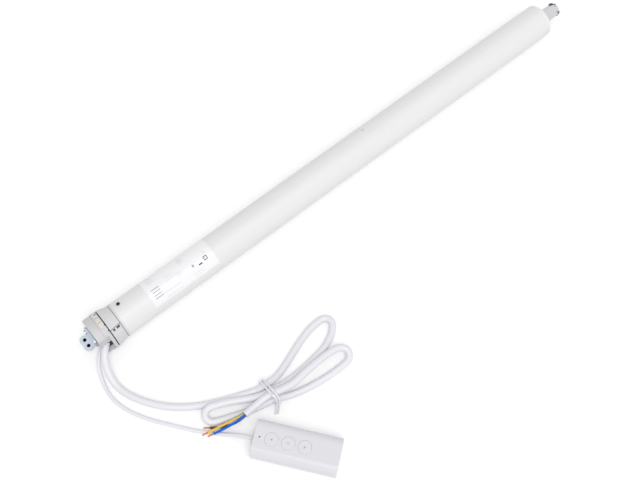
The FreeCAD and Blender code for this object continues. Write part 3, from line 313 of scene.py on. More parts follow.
# %% Box finishes
case_abs = finish("satin white ABS", "#E3E3E7", "#E0E0E5", 0.3, 0.5, 0.003, mottle=30)
key_abs = finish("satin key ABS", "#E3E3E7", "#E0E0E5", 0.36, 0.4, 0.004, mottle=20)
lamp_pc = finish("lamp light guide", "#6E7072", "#646668", 0.3, 0.4, 0.003)
clear_pc = finish("clear polycarbonate", "#DDE3E6", "#D3DADE", 0.12, 0.8, 0.003)
paint(case_abs, "front_shell", "back_shell")
paint(key_abs, "up_button", "pause_button", "down_button")
paint(lamp_pc, "status_lens")
paint(clear_pc, "data_plug")
print("finishes so far", len(bpy.data.materials))

# %% [markdown]
# Cords. Each is one NURBS spline whose control points are the cord's route in the CAD model, so it bends
# like something soft and still lies where its solid does. The round jacket is the curve's own bevel.

# %% Cord helpers
JACKET_STEPS = 5


def cord_curve(name, route, radius, material, rings=10):
    """A smooth round cord along a route given in millimetres."""
    curve = bpy.data.curves.new(name, "CURVE")
    curve.dimensions = "3D"
    curve.resolution_u = rings
    curve.bevel_depth = radius * MM
    curve.bevel_resolution = JACKET_STEPS
    curve.use_fill_caps = True
    spline = curve.splines.new("NURBS")
    spline.points.add(len(route) - 1)
    for point, place in zip(spline.points, route):
        point.co = (*[v * MM for v in place], 1.0)
    spline.order_u = 3
    spline.use_endpoint_u = True
    curve.materials.append(material)
    made = bpy.data.objects.new(name, curve)
    bpy.context.collection.objects.link(made)
    return made


def run_length(cord):
    """The length of a cord's own line, measured on a copy of the curve with no bevel."""
    bare = cord.copy()
    bare.data = cord.data.copy()
    bare.data.bevel_depth = 0
    line = bpy.data.meshes.new_from_object(bare)
    bpy.data.curves.remove(bare.data)
    return sum((line.vertices[e.vertices[0]].co - line.vertices[e.vertices[1]].co).length for e in line.edges)


print("steps round a jacket", JACKET_STEPS)

# %% [markdown]
# The mains cord leaves the head's recess, drops to the floor, and is folded into a hank with two long loops
# to the right of its tie and one fold to the left. Its cut end lies on top. The jacket is soft white PVC,
# which was drawn through a die, so it is smooth with a low sheen.

# %% Mains cord
pvc = finish("white PVC jacket", "#ECECF1", "#E7E7ED", 0.34, 0.8, 0.008, mottle=20)
mains_route = [
    (16.6, -8.0, -2.4), (8.5, -15.6, -2.4), (2.8, -24.0, -6.6), (-0.8, -35.0, -12.2),
    (-1.2, -47.5, CORD_LOW), (3.4, -62.0, CORD_LOW), (12.6, -77.5, CORD_LOW), (24.6, -92.0, CORD_LOW),
    (40.2, -104.6, CORD_LOW), (57.0, -114.0, CORD_LOW), (75.0, -121.8, CORD_LOW), (92.5, -128.4, CORD_LOW),
    (99.5, -131.04, CORD_LOW), (107.5, -131.9, CORD_TIED), (121.0, -132.4, CORD_LOW),
    (137.0, -127.2, CORD_LOW), (153.0, -120.8, CORD_LOW), (168.5, -115.6, CORD_LOW),
    (182.0, -113.2, CORD_LOW), (193.2, -114.0, CORD_LOW), (196.7, -122.2, CORD_LOW),
    (189.5, -130.2, CORD_LOW), (176.5, -137.2, CORD_LOW), (161.0, -139.8, CORD_LOW),
    (146.0, -141.2, CORD_LOW), (132.0, -141.9, CORD_LOW), (119.0, -141.4, CORD_LOW),
    (107.5, -140.0, CORD_TIED), (96.5, -137.7, -13.5), (84.5, -132.0, -11.5), (71.5, -124.9, -10.4),
    (62.0, -120.6, -10.1), (51.6, -116.8, -10.0), (45.3, -121.2, -13.2), (46.7, -128.8, -16.4),
    (58.7, -133.8, CORD_LOW), (72.7, -139.2, CORD_LOW), (86.3, -143.4, CORD_LOW), (97.3, -146.0, -15.4),
    (107.5, -148.1, CORD_TIED),
    (118.5, -153.2, CORD_LOW), (132.0, -157.4, CORD_LOW), (146.5, -160.0, CORD_LOW),
    (161.5, -161.8, CORD_LOW), (174.5, -162.0, CORD_LOW), (185.8, -161.4, CORD_LOW), (190.2, -154.0, -14.7),
    (185.8, -146.6, -13.0), (172.5, -145.0, -11.0), (158.0, -145.6, -9.7), (143.5, -146.4, -9.0),
    (130.5, -148.4, -8.4), (118.5, -147.2, -7.6), (107.0, -144.0, -6.5), (96.0, -143.0, -7.8),
    (85.5, -143.4, CORD_HIGH), (76.2, -143.9, CORD_HIGH),
]
mains_cord = cord_curve("mains_cord", mains_route, CORD_R, pvc)
mains_length = run_length(mains_cord)
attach(mains_cord, "motor")
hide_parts("power_cord_lead", "power_cord_hank")
print("mains cord", round(mains_length, 4))

# %% [markdown]
# The thin data cord runs from the same recess, under the fold of the mains cord, to the plug in the box. Its
# last two points lie on the plug's own middle line, so it goes in straight.

# %% Data cord
PLUG_H = 10.55
PLUG_BACK, PLUG_FRONT = -9.5, -1.5
into_plug = [tuple(v / MM for v in box_at(s, 0, PLUG_H)) for s in (PLUG_BACK, PLUG_FRONT)]
data_route = [
    (9.7, -8.0, -7.9), (2.6, -13.5, -7.9), (-3.4, -20.2, -11.4), (-7.8, -29.4, -15.8),
    (-10.6, -40.6, DATA_LOW), (-11.4, -53.0, DATA_LOW), (-8.2, -66.6, DATA_LOW), (-1.8, -80.6, DATA_LOW),
    (7.4, -94.8, DATA_LOW), (17.9, -108.2, DATA_LOW), (28.2, -121.4, DATA_LOW), (38.0, -132.6, DATA_LOW),
    (47.5, -142.0, DATA_LOW), (56.0, -150.6, -14.6), *into_plug,
]
data_cord = cord_curve("data_flex", data_route, DATA_R, pvc)
data_length = run_length(data_cord)
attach(data_cord, "motor")
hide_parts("data_cord")
print("data cord", round(data_length, 4))

# %% [markdown]
# Three cores fan out of the cut end. Blue and brown are plain PVC, about as glossy as the jacket. The earth
# core is yellow with one green stripe that winds slowly round it: on its far side at the root, then under
# it. The stripe is where the surface's normal, turned back by the stripe's own winding, points up.

# %% Core finishes
blue = finish("blue core PVC", "#006AE4", "#005FDA", 0.36, 0.5, 0.004, ior=1.38)
brown = finish("brown core PVC", "#7A3F1D", "#673315", 0.32, 0.5, 0.004)
earth = finish("yellow and green core PVC", "#F3C654", "#E9BA48", 0.32, 0.5, 0.004)
ROOT_X = 73.5 * MM
TWIST = math.radians(-6.0) / MM
AT_ROOT = math.radians(40)
STRIPE_FROM, STRIPE_FULL = 0.72, 0.78
earth_tree = earth.node_tree
spot = add(earth_tree, "ShaderNodeTexCoord").outputs["Object"]
along = add(earth_tree, "ShaderNodeSeparateXYZ", {0: spot}).outputs["X"]
ahead = add(earth_tree, "ShaderNodeMath", {0: along, 1: ROOT_X}, operation="SUBTRACT").outputs[0]
wound = add(earth_tree, "ShaderNodeMath", {0: ahead, 1: TWIST}, operation="MULTIPLY").outputs[0]
turned_by = add(earth_tree, "ShaderNodeMath", {0: wound, 1: AT_ROOT}, operation="ADD").outputs[0]
facing = add(earth_tree, "ShaderNodeNewGeometry").outputs["Normal"]
unwound = add(earth_tree, "ShaderNodeVectorRotate", {"Vector": facing, "Angle": turned_by},
              rotation_type="X_AXIS")
upward = add(earth_tree, "ShaderNodeSeparateXYZ", {0: unwound.outputs[0]}).outputs["Z"]
edge = add(earth_tree, "ShaderNodeMapRange", {
    "Value": upward, "From Min": STRIPE_FROM, "From Max": STRIPE_FULL})
overlay(earth, edge.outputs["Result"], "#5FA83C")
print("the stripe turns", round(math.degrees(TWIST * MM), 1), "degrees each millimetre")

# %% [markdown]
# Each core is a cord of its own that starts inside the jacket's end and fans out towards the left, downhill.
# Its end and direction are kept, because a stripped copper tip goes on there.

# %% Cores
core_routes = {
    "earth_core": ([(76.1, -142.4, -8.75), (71.5, -142.65, -8.75), (64.8, -140.7, -10.1),
                    (56.6, -138.9, -12.2), (48.2, -136.9, -13.8), (39.8, -135.0, -14.6)],
                   earth, "green_yellow"),
    "neutral_core": ([(76.2, -144.65, -7.45), (71.6, -144.9, -7.45), (65.2, -144.1, -9.5),
                      (58.0, -142.6, -12.0), (50.4, -140.9, -13.9), (43.0, -139.1, -14.7)],
                     blue, "blue"),
    "live_core": ([(76.2, -144.65, -10.05), (71.6, -144.9, -10.05), (65.6, -144.2, -12.6),
                   (58.6, -141.4, -15.4), (51.2, -137.4, -17.5), (43.8, -131.6, -18.3)],
                  brown, "brown"),
}
core_ends = {}
for name, (route, material, slot) in core_routes.items():
    core = cord_curve(name + "_flex", route, CORE_R, material, rings=8)
    length = run_length(core)
    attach(core, "motor")
    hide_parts(name)
    core_ends[name] = (Vector(route[-1]), (Vector(route[-1]) - Vector(route[-2])).normalized())
    print(name, round(length, 4))

# %% [markdown]
# The bare tips are stranded copper. A small Geometry Nodes tree makes one. First it stands straight lines on
# a ring, and one in the middle. All sizes are the tree's named inputs, and the twist is in radians for each
# metre.

# %% Strand tree
copper = finish("bare copper strand", "#D98A5B", "#C87847", 0.25, 0.3, 0.004, metallic=1.0)
tip_tree = bpy.data.node_groups.new("copper strands", "GeometryNodeTree")
for name, kind, value in (
        ("Length", "NodeSocketFloat", 6.0 * MM), ("Strand radius", "NodeSocketFloat", 0.23 * MM),
        ("Ring radius", "NodeSocketFloat", 0.46 * MM), ("Strands", "NodeSocketInt", 6),
        ("Twist", "NodeSocketFloat", 420.0), ("Rings", "NodeSocketInt", 14), ("Sides", "NodeSocketInt", 8)):
    tip_tree.interface.new_socket(name, in_out="INPUT", socket_type=kind).default_value = value
tip_tree.interface.new_socket("Geometry", in_out="OUTPUT", socket_type="NodeSocketGeometry")
given = add(tip_tree, "NodeGroupInput").outputs
ring = add(tip_tree, "GeometryNodeCurvePrimitiveCircle", {
    "Resolution": given["Strands"], "Radius": given["Ring radius"]})
ring_points = add(tip_tree, "GeometryNodeCurveToPoints", {
    "Curve": ring.outputs["Curve"], "Count": given["Strands"]}, mode="COUNT")
middle = add(tip_tree, "GeometryNodePoints", {"Count": 1})
spots = add(tip_tree, "GeometryNodeJoinGeometry")
tip_tree.links.new(ring_points.outputs["Points"], spots.inputs[0])
tip_tree.links.new(middle.outputs[0], spots.inputs[0])
top = add(tip_tree, "ShaderNodeCombineXYZ", {"Z": given["Length"]})
line = add(tip_tree, "GeometryNodeCurvePrimitiveLine", {"End": top.outputs[0]})
fine = add(tip_tree, "GeometryNodeResampleCurve", {"Curve": line.outputs[0], "Count": given["Rings"]})
strands = add(tip_tree, "GeometryNodeInstanceOnPoints", {
    "Points": spots.outputs[0], "Instance": fine.outputs[0]})
print("strands stand on", len(spots.inputs[0].links), "sets of points")

# %% [markdown]
# Then the tree realizes the lines, so that each point can move by itself. The Set Position node turns every
# point by its own height times the twist, and each line gets its round section and its copper.

# %% Strand twist
real = add(tip_tree, "GeometryNodeRealizeInstances", {0: strands.outputs[0]})
where = add(tip_tree, "GeometryNodeInputPosition").outputs[0]
height = add(tip_tree, "ShaderNodeSeparateXYZ", {0: where}).outputs["Z"]
angle = add(tip_tree, "ShaderNodeMath", {0: height, 1: given["Twist"]}, operation="MULTIPLY").outputs[0]
turned = add(tip_tree, "ShaderNodeVectorRotate", {"Vector": where, "Angle": angle}, rotation_type="Z_AXIS")
twisted = add(tip_tree, "GeometryNodeSetPosition", {
    "Geometry": real.outputs[0], "Position": turned.outputs[0]})
section = add(tip_tree, "GeometryNodeCurvePrimitiveCircle", {
    "Resolution": given["Sides"], "Radius": given["Strand radius"]})
solid = add(tip_tree, "GeometryNodeCurveToMesh", {
    "Curve": twisted.outputs[0], "Profile Curve": section.outputs[0], "Fill Caps": True})
coated = add(tip_tree, "GeometryNodeSetMaterial", {"Geometry": solid.outputs[0], "Material": copper})
add(tip_tree, "NodeGroupOutput", {0: coated.outputs[0]})
print("strand tree", len(tip_tree.nodes), "nodes")

# %% [markdown]
# A tree needs an object to run on. One helper runs it on an empty mesh and keeps what it makes as a plain
# mesh, because the model is kept without its trees. Its inputs are set by each socket's identifier, before
# the object is first evaluated. A second helper joins several meshes into one object, with all their
# materials.

# %% Mesh helpers
def grown(name, tree, settings=None):
    """Run a tree on an empty object and keep the result as a plain mesh."""
    host = bpy.data.objects.new(name + "_host", bpy.data.meshes.new(name + "_host"))
    bpy.context.collection.objects.link(host)
    modifier = host.modifiers.new("tree", "NODES")
    modifier.node_group = tree
    for item in tree.interface.items_tree:
        if item.in_out == "INPUT" and item.name in (settings or {}):
            modifier[item.identifier] = settings[item.name]
    graph = bpy.context.evaluated_depsgraph_get()
    mesh = bpy.data.meshes.new_from_object(host.evaluated_get(graph))
    bpy.data.objects.remove(host)
    mesh.name = name
    return mesh


def join_meshes(name, meshes):
    """One mesh object from several meshes in place."""
    whole = bmesh.new()
    materials = []
    for mesh in meshes:
        for material in mesh.materials:
            if material not in materials:
                materials.append(material)
        before = len(whole.faces)
        whole.from_mesh(mesh)
        whole.faces.ensure_lookup_table()
        for face in whole.faces[before:]:
            face.material_index = materials.index(mesh.materials[face.material_index])
    result = bpy.data.meshes.new(name)
    whole.to_mesh(result)
    whole.free()
    for material in materials:
        result.materials.append(material)
    made = bpy.data.objects.new(name, result)
    bpy.context.collection.objects.link(made)
    return made


# %% [markdown]
# The strand tree grows each tip upwards from the origin. It is then turned to its core's direction and moved
# to its end, and the three are one piece.

# %% Copper tips
tips = []
for name, (end, way) in core_ends.items():
    mesh = grown("tip", tip_tree)
    turn = way.to_track_quat("Z", "Y").to_matrix().to_4x4()
    mesh.transform(Matrix.Translation(end * MM) @ turn)
    tips.append(mesh)
copper_tips = join_meshes("copper_tips", tips)
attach(copper_tips, "motor")
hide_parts("core_tips")
print("strands", len(copper_tips.data.polygons), "faces")

# %% [markdown]
# The hank's tie is a plastic covered wire: two turns round the bundle and two ends laid side by side. Each
# is a curve again, made a mesh so that the four can be one piece. A turn has six corners, and each bends over
# the last few millimetres beside it.

# %% Tie
tie_pvc = finish("tie wire covering", "#F3F3F8", "#ECECF2", 0.3, 0.5, 0.004)
TIE_LOW = FLOOR + TIE_R + 0.05
TIE_BEND = 2.6
TIE_TURNS = (105.4, 108.6)


def curve_mesh(name, points, radius, material, closed=False, resolution=8):
    """A round wire through points in millimetres, as a mesh."""
    wire = cord_curve(name, points, radius, material, rings=resolution)
    if closed:
        wire.data.splines[0].use_cyclic_u = True
    mesh = bpy.data.meshes.new_from_object(wire)
    bpy.data.objects.remove(wire)
    return mesh


ring_corners = [Vector(c) for c in ((-127.0, TIE_LOW), (-153.7, TIE_LOW), (-153.7, -12.05), (-148.3, -1.6),
                                    (-140.7, -1.6), (-127.0, -10.25))]
turns = []
for x in TIE_TURNS:
    ring_points = []
    for i, corner in enumerate(ring_corners):
        for other in (ring_corners[i - 1], ring_corners[(i + 1) % len(ring_corners)]):
            beside = corner + (other - corner).normalized() * TIE_BEND
            ring_points.append((x, beside.x, beside.y))
        ring_points.insert(-1, (x, corner.x, corner.y))
    turns.append(curve_mesh("turn", ring_points, TIE_R, tie_pvc, closed=True))
tail_routes = [
    [(108.6, -146.6, 0.9), (108.9, -151.8, -1.1), (107.6, -154.8, -7.6), (104.6, -157.2, -14.0),
     (101.0, -159.9, -18.7)],
    [(106.3, -146.6, 0.9), (106.6, -151.8, -1.1), (105.2, -154.4, -7.6), (102.2, -156.6, -14.0),
     (98.8, -158.8, -18.7)],
]
for route in tail_routes:
    turns.append(curve_mesh("tail", route, TIE_R, tie_pvc))
hank_tie = join_meshes("hank_tie", turns)
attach(hank_tie, "motor")
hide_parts("cord_tie")
print("tie", len(hank_tie.data.polygons), "faces")

# %% [markdown]
# Where the jacket was cut, its edge stands up as a thin white lip. Inside the lip, a flat black disc is
# painted shade where the cores leave the jacket empty. Both lie just past the cord's flat end, and face along
# it.

# %% Cut end
LIP_R, LIP_WIRE, LIP_SIDES = 3.1, 0.3, 12
PROUD = 0.1
end_at = Vector(mains_route[-1])
end_way = (end_at - Vector(mains_route[-2])).normalized()
end_turn = end_way.to_track_quat("Z", "Y").to_matrix().to_4x4()
end_place = Matrix.Translation((end_at + end_way * PROUD) * MM) @ end_turn
lip_angles = [math.tau * i / LIP_SIDES for i in range(LIP_SIDES)]
lip_points = [(LIP_R * math.cos(a), LIP_R * math.sin(a), 0) for a in lip_angles]
lip = curve_mesh("lip", lip_points, LIP_WIRE, tie_pvc, closed=True, resolution=4)
# The black disc is painted shade, not a part.
hollow_shade = bpy.data.meshes.new("hollow_shade")
hollow_shade.from_pydata([tuple(v * MM for v in point) for point in lip_points], [], [tuple(range(LIP_SIDES))])
hollow_shade.materials.append(black_pa_and_shade)
for mesh in (lip, hollow_shade):
    mesh.transform(end_place)
cut_end = join_meshes("cut_end", [lip, hollow_shade])
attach(cut_end, "motor")
print("cut end", len(cut_end.data.polygons), "faces")

# %% [markdown]
# The mains cord and its three cores are made, each with its length measured on its curve.

# %% [markdown]
# The label is printed with rows of thin grey rules, a small square outline and a short dark bar, in three
# inks: pale, grey and nearly black.

# %% Inks
pale_ink = finish("pale label ink", "#DCDCE3", "#D6D6DE", 0.4, 0.5, 0.001)
ink = finish("grey label ink", "#A8A8B0", "#A2A2AB", 0.4, 0.5, 0.001)
# The nearly black ink also paints shade into the head's slot and notches and the crown's notches.
dark_ink_and_shade = finish("dark label ink and painted shade", "#2A2A2E", "#343438", 0.4, 0.5, 0.001)
print("finishes so far", len(bpy.data.materials))

# %% [markdown]
# A Geometry Nodes tree lays rows of print out flat as bars, whose length wanders with a fixed seed. Each bar
# is a grid one metre long that is scaled to its length, and has a middle row of points so that it can bend.
# The print will lie three hundredths of a millimetre above the surface, so that it isn't lost in it.

# %% Rule tree
LIFT = 0.03
rules = bpy.data.node_groups.new("label rules", "GeometryNodeTree")
for name, kind, value in (
        ("Start", "NodeSocketFloat", 0.0), ("Across", "NodeSocketFloat", 0.0),
        ("Row pitch", "NodeSocketFloat", 2.2 * MM), ("Rows", "NodeSocketInt", 4),
        ("Shortest", "NodeSocketFloat", 0.6), ("Bar length", "NodeSocketFloat", 9 * MM),
        ("Bar width", "NodeSocketFloat", 0.5 * MM), ("Seed", "NodeSocketInt", 1),
        ("Radius", "NodeSocketFloat", (LABEL_R + LIFT) * MM), ("Ink", "NodeSocketMaterial", None)):
    socket = rules.interface.new_socket(name, in_out="INPUT", socket_type=kind)
    if value is not None:
        socket.default_value = value
rules.interface.new_socket("Geometry", in_out="OUTPUT", socket_type="NodeSocketGeometry")
given = add(rules, "NodeGroupInput").outputs
step = add(rules, "ShaderNodeCombineXYZ", {"Y": given["Row pitch"]})
start = add(rules, "ShaderNodeCombineXYZ", {"X": given["Start"], "Y": given["Across"]})
rows = add(rules, "GeometryNodeMeshLine", {
    "Count": given["Rows"], "Start Location": start.outputs[0], "Offset": step.outputs[0]})
bar = add(rules, "GeometryNodeMeshGrid", {
    "Size X": 1.0, "Size Y": given["Bar width"], "Vertices X": 2, "Vertices Y": 3})
moved = add(rules, "GeometryNodeTransform", {"Geometry": bar.outputs["Mesh"], "Translation": (0.5, 0, 0)})
chance = add(rules, "FunctionNodeRandomValue", {"Seed": given["Seed"]}, data_type="FLOAT")
least, most = [i for i in chance.inputs if i.name in ("Min", "Max") and i.type == "VALUE"]
rules.links.new(given["Shortest"], least)
most.default_value = 1.0
share = [o for o in chance.outputs if o.type == "VALUE"][0]
long = add(rules, "ShaderNodeMath", {0: share, 1: given["Bar length"]}, operation="MULTIPLY")
size = add(rules, "ShaderNodeCombineXYZ", {"X": long.outputs[0], "Y": 1.0, "Z": 1.0})
bars = add(rules, "GeometryNodeInstanceOnPoints", {
    "Points": rows.outputs["Mesh"], "Instance": moved.outputs[0], "Scale": size.outputs[0]})
print("rule tree so far", len(rules.nodes), "nodes")

# %% [markdown]
# The same tree then wraps the flat print round the motor. The distance across, divided by the radius, becomes
# an angle, and its sine and cosine put each point on the surface.

# %% Wrapped print
flat = add(rules, "GeometryNodeRealizeInstances", {0: bars.outputs[0]})
laid = add(rules, "GeometryNodeInputPosition").outputs[0]
where = add(rules, "ShaderNodeSeparateXYZ", {0: laid}).outputs
turn = add(rules, "ShaderNodeMath", {0: where["Y"], 1: given["Radius"]}, operation="DIVIDE").outputs[0]
sine = add(rules, "ShaderNodeMath", {0: turn}, operation="SINE").outputs[0]
cosine = add(rules, "ShaderNodeMath", {0: turn}, operation="COSINE").outputs[0]
y = add(rules, "ShaderNodeMath", {0: sine, 1: given["Radius"]}, operation="MULTIPLY").outputs[0]
z = add(rules, "ShaderNodeMath", {0: cosine, 1: given["Radius"]}, operation="MULTIPLY").outputs[0]
wrapped = add(rules, "ShaderNodeCombineXYZ", {"X": where["X"], "Y": y, "Z": z}).outputs[0]
printed = add(rules, "GeometryNodeSetPosition", {"Geometry": flat.outputs[0], "Position": wrapped})
inked = add(rules, "GeometryNodeSetMaterial", {"Geometry": printed.outputs[0], "Material": given["Ink"]})
add(rules, "NodeGroupOutput", {0: inked.outputs[0]})
print("rule tree", len(rules.nodes), "nodes")

# %% [markdown]
# Each block of print is a line here: where it starts along the label, how far round from the top (towards
# the back is positive), its pitch, its number of rows, its shortest bar's share of the longest, its bars'
# length and width, and its ink.

# %% Label print
print_blocks = [
    (4.3, -10.9, 3.0, 4, 0.75, 9.0, 0.7, ink), (14.0, -15.8, 4.7, 2, 0.95, 18.0, 0.35, pale_ink),
    (21.0, -2.5, 2.4, 3, 0.6, 12.0, 0.3, pale_ink), (46.8, -15.8, 2.9, 2, 0.7, 12.4, 0.4, pale_ink),
    (55.4, -8.0, 1.0, 1, 1.0, 4.0, 1.3, dark_ink_and_shade), (49.0, -5.5, 1.0, 1, 1.0, 2.4, 2.2, ink),
    (62.4, -7.4, 3.4, 2, 1.0, 3.9, 0.7, dark_ink_and_shade), (62.4, -5.7, 1.0, 1, 1.0, 0.7, 3.5, dark_ink_and_shade),
    (65.6, -5.7, 1.0, 1, 1.0, 0.7, 3.5, dark_ink_and_shade), (63.7, -5.7, 1.0, 1, 1.0, 1.2, 1.1, pale_ink),
    (40.0, 4.6, 1.5, 5, 0.4, 7.5, 0.5, pale_ink), (4.6, 6.0, 2.6, 4, 0.6, 7.6, 0.5, pale_ink),
    (32.0, -7.2, 2.4, 3, 0.6, 7.0, 0.5, pale_ink), (64.8, -1.6, 1.6, 3, 0.7, 3.0, 0.35, pale_ink),
]
FIRST_SEED = 3
sheets = []
for number, (start, across, pitch, count, shortest, length, width, colour) in enumerate(print_blocks):
    sheets.append(grown("rule", rules, {
        "Start": (LABEL_X + start) * MM, "Across": across * MM, "Row pitch": pitch * MM, "Rows": count,
        "Shortest": shortest, "Bar length": length * MM, "Bar width": width * MM, "Seed": number + FIRST_SEED,
        "Ink": colour}))
label_print = join_meshes("label_print", sheets)
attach(label_print, "motor")
print("label bars", sum(block[3] for block in print_blocks))

# %% [markdown]
# The same tree, set to one row and to the head's radius, draws the window's two dividing lines, and a dark
# bar of painted shade for the slot at its end. Two more bars are painted shade in the small notches in the
# head's rim: one at the window's corner, one on the notch's floor, a millimetre down. Each bar is a start, a
# place across, a width, a length, a radius and an ink.

# %% Window lines and painted shade
window_ink = finish("window line ink", "#8E8A88", "#878381", 0.4, 0.5, 0.001)
INK_R = HEAD_R + LIFT
RIM_FLOOR_R = HEAD_R - 1.0


def single_bar(start, across, width, length, radius, colour):
    """One printed bar on a round surface, with every size in millimetres."""
    return grown("bar", rules, {
        "Start": start * MM, "Across": across * MM, "Rows": 1, "Shortest": 1.0, "Bar length": length * MM,
        "Bar width": width * MM, "Radius": radius * MM, "Ink": colour})


line_and_shade_blocks = [
    (17.6, 1.5, 0.4, 4.1, INK_R, window_ink), (17.6, 7.8, 0.4, 4.1, INK_R, window_ink),
    # The dark slot bar and the two rim notch bars are painted shade.
    (19.6, 13.4, 1.7, 1.9, INK_R, dark_ink_and_shade),
    (21.5, math.radians(-8.6) * INK_R, 1.2, 0.9, INK_R, dark_ink_and_shade),
    (21.35, math.radians(-27.5) * RIM_FLOOR_R, 1.0, 1.2, RIM_FLOOR_R, dark_ink_and_shade),
]
window_lines_and_shade = join_meshes("window_lines_and_shade", [single_bar(*block) for block in line_and_shade_blocks])
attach(window_lines_and_shade, "motor")
print("window marks", len(line_and_shade_blocks))

# %% [markdown]
# The two notches beside the crown's key, and the narrow gap along it, are painted dark at the bottom, as
# painted shade. The same tree lays a dark bar in each, and a turn about the motor's axis brings them to the
# key. They ride on the crown, so they turn with it.

# %% Painted shade in the crown's notches
KEY_TURN = Matrix.Rotation(math.radians(45), 4, "X")
NOTCH_R, GAP_R = 16.3, 16.8
shade_bar_blocks = [(25.7, 2.92, 2.1, 2.0, NOTCH_R), (29.7, 2.92, 2.1, 3.4, NOTCH_R),
                 (23.5, 4.71, 0.6, 11.2, GAP_R)]
# Each dark bar is painted shade in a notch or in the gap.
sheets = [single_bar(*block, dark_ink_and_shade) for block in shade_bar_blocks]
for mesh in sheets:
    mesh.transform(KEY_TURN)
notch_shade = join_meshes("notch_shade", sheets)
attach(notch_shade, "crown")
print("notch grease", len(sheets))

# %% [markdown]
# The keys carry generic marks: an upward triangle, two bars and a downward triangle. They are thin plates
# just above each key, with s along the box and t across it, and ride on the key's body so that they move
# with it.

# %% Key marks
mark_ink = finish("pale grey pad print", "#B9B9BF", "#B2B2B8", 0.4, 0.5, 0.001)


def plate(name, outlines, height, thick, material, body):
    """Thin plates from outlines in the box's own millimetres."""
    shape = bmesh.new()
    for outline in outlines:
        low = [shape.verts.new(box_at(s, t, height)) for s, t in outline]
        high = [shape.verts.new(box_at(s, t, height + thick)) for s, t in outline]
        shape.faces.new(low[::-1])
        shape.faces.new(high)
        for i in range(len(outline)):
            j = (i + 1) % len(outline)
            shape.faces.new((low[i], low[j], high[j], high[i]))
    bmesh.ops.recalc_face_normals(shape, faces=shape.faces)
    mesh = bpy.data.meshes.new(name)
    shape.to_mesh(mesh)
    shape.free()
    mesh.materials.append(material)
    made = bpy.data.objects.new(name, mesh)
    bpy.context.collection.objects.link(made)
    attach(made, body)


KEY_TOP = BOX_T + 0.1
INK_T = 0.03
TIP, BASE, HALF = 1.3, 0.9, 1.4
BAR_T, BAR_FROM = 0.45, (-0.95, 0.5)
up_s, pause_s, down_s = KEYS.values()
up_triangle = [(up_s - TIP, 0), (up_s + BASE, HALF), (up_s + BASE, -HALF)]
down_triangle = [(down_s + TIP, 0), (down_s - BASE, -HALF), (down_s - BASE, HALF)]
low_s, high_s = pause_s - HALF, pause_s + HALF
two_bars = [[(low_s, t), (high_s, t), (high_s, t + BAR_T), (low_s, t + BAR_T)] for t in BAR_FROM]
key_marks = (("up_mark", [up_triangle], "up_button"), ("pause_mark", two_bars, "pause_button"),
             ("down_mark", [down_triangle], "down_button"))
for name, outlines, body in key_marks:
    plate(name, outlines, KEY_TOP, INK_T, mark_ink, body)
    print(name, "on", body)

# %% [markdown]
# The floor is a plain sheet of pale paper. To the camera, to glossy surfaces and through clear ones it also
# glows a little, so that it comes out white while the object's soft shadows stay on it. Its light on the
# object is only what pale paper gives back. It lies a hair below the object, so that no two surfaces meet.

# %% Floor
FLOOR_HALF = 3000.0
SHEET_GAP = 0.02
GLOW = 0.28


def looked_at(tree):
    """1 for a camera, glossy or transmission ray, and 0 for the rays that light things."""
    ray = add(tree, "ShaderNodeLightPath").outputs
    either = add(tree, "ShaderNodeMath", {0: ray["Is Camera Ray"], 1: ray["Is Glossy Ray"]},
                 operation="MAXIMUM").outputs[0]
    return add(tree, "ShaderNodeMath", {0: either, 1: ray["Is Transmission Ray"]},
               operation="MAXIMUM").outputs[0]


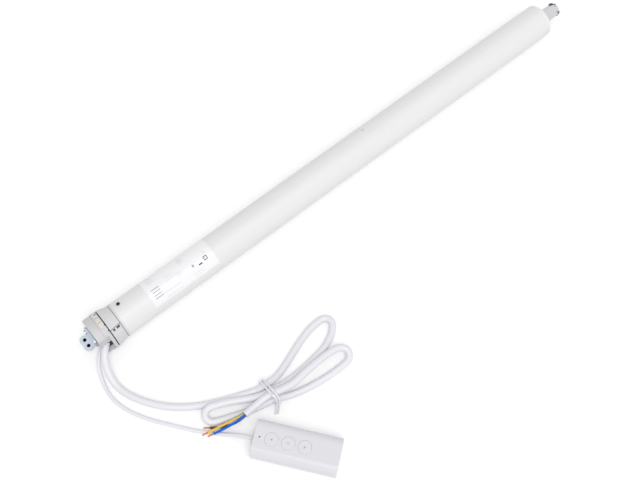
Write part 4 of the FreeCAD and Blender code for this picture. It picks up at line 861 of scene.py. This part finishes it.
floor_mesh = bpy.data.meshes.new("floor")
sides = ((-1, -1), (1, -1), (1, 1), (-1, 1))
corners = [at(x * FLOOR_HALF, y * FLOOR_HALF, FLOOR - SHEET_GAP) for x, y in sides]
floor_mesh.from_pydata(corners, [], [(0, 1, 2, 3)])
floor = bpy.data.objects.new("floor", floor_mesh)
bpy.context.collection.objects.link(floor)
floor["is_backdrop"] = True
paper = bpy.data.materials.new("pale studio paper")
paper.use_nodes = True
paper_tree = paper.node_tree
paper_tree.nodes.clear()
matte = add(paper_tree, "ShaderNodeBsdfDiffuse", {"Color": linear("#E4E4E4")}).outputs[0]
glow = add(paper_tree, "ShaderNodeEmission", {"Color": linear("#FFFFFF"), "Strength": GLOW}).outputs[0]
lit = add(paper_tree, "ShaderNodeAddShader", {0: matte, 1: glow}).outputs[0]
mixed = add(paper_tree, "ShaderNodeMixShader", {0: looked_at(paper_tree), 1: matte, 2: lit}).outputs[0]
add(paper_tree, "ShaderNodeOutputMaterial", {"Surface": mixed})
floor_mesh.materials.append(paper)
print("floor", 2 * FLOOR_HALF * MM, "m across")

# %% [markdown]
# The world fills the shade evenly. It lights with a strength of about two thirds, and is white where the
# camera, metal or glass looks straight at it.

# %% World
FILL = 0.66
world = bpy.data.worlds.new("studio")
bpy.context.scene.world = world
world.use_nodes = True
sky = world.node_tree
strength = add(sky, "ShaderNodeMapRange", {"Value": looked_at(sky), "To Min": FILL, "To Max": 1.0})
sky.nodes["Background"].inputs["Color"].default_value = linear("#FFFFFF")
sky.links.new(strength.outputs["Result"], sky.nodes["Background"].inputs["Strength"])
print("world fill", FILL)

# %% [markdown]
# Two soft lamps. The broad one stands overhead and throws soft shadows to the upper left. The weaker low one
# brightens the sides that face the lower right. Each is a sun as wide as its angle says, so its shadows have
# no hard edges.

# %% Lamps
for name, energy, spread, way in (("broad lamp", 1.05, 30, (0.12, 0.38, -1.0)),
                                  ("low lamp", 0.34, 50, (0.1, 1.0, -0.2))):
    lamp = bpy.data.lights.new(name, "SUN")
    lamp.energy = energy
    lamp.angle = math.radians(spread)
    placed = bpy.data.objects.new(name, lamp)
    placed.rotation_euler = Vector(way).to_track_quat("-Z", "Y").to_euler()
    bpy.context.collection.objects.link(placed)
    print(name, energy)

# %% [markdown]
# The Standard view shows each colour as it is written.

# %% Colour handling
bpy.context.scene.view_settings.view_transform = "Standard"
print("view", bpy.context.scene.view_settings.view_transform)

# %% [markdown]
# The box round the CAD model was measured at the start. Here the dressed model's box is measured, and both
# are printed, so that the two can be set side by side.

# %% Sizes at the end and finish
looks_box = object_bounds()
for name, box in (("cad box", cad_box), ("visual box", looks_box)):
    print(name, [[round(x, 4) for x in corner] for corner in box])
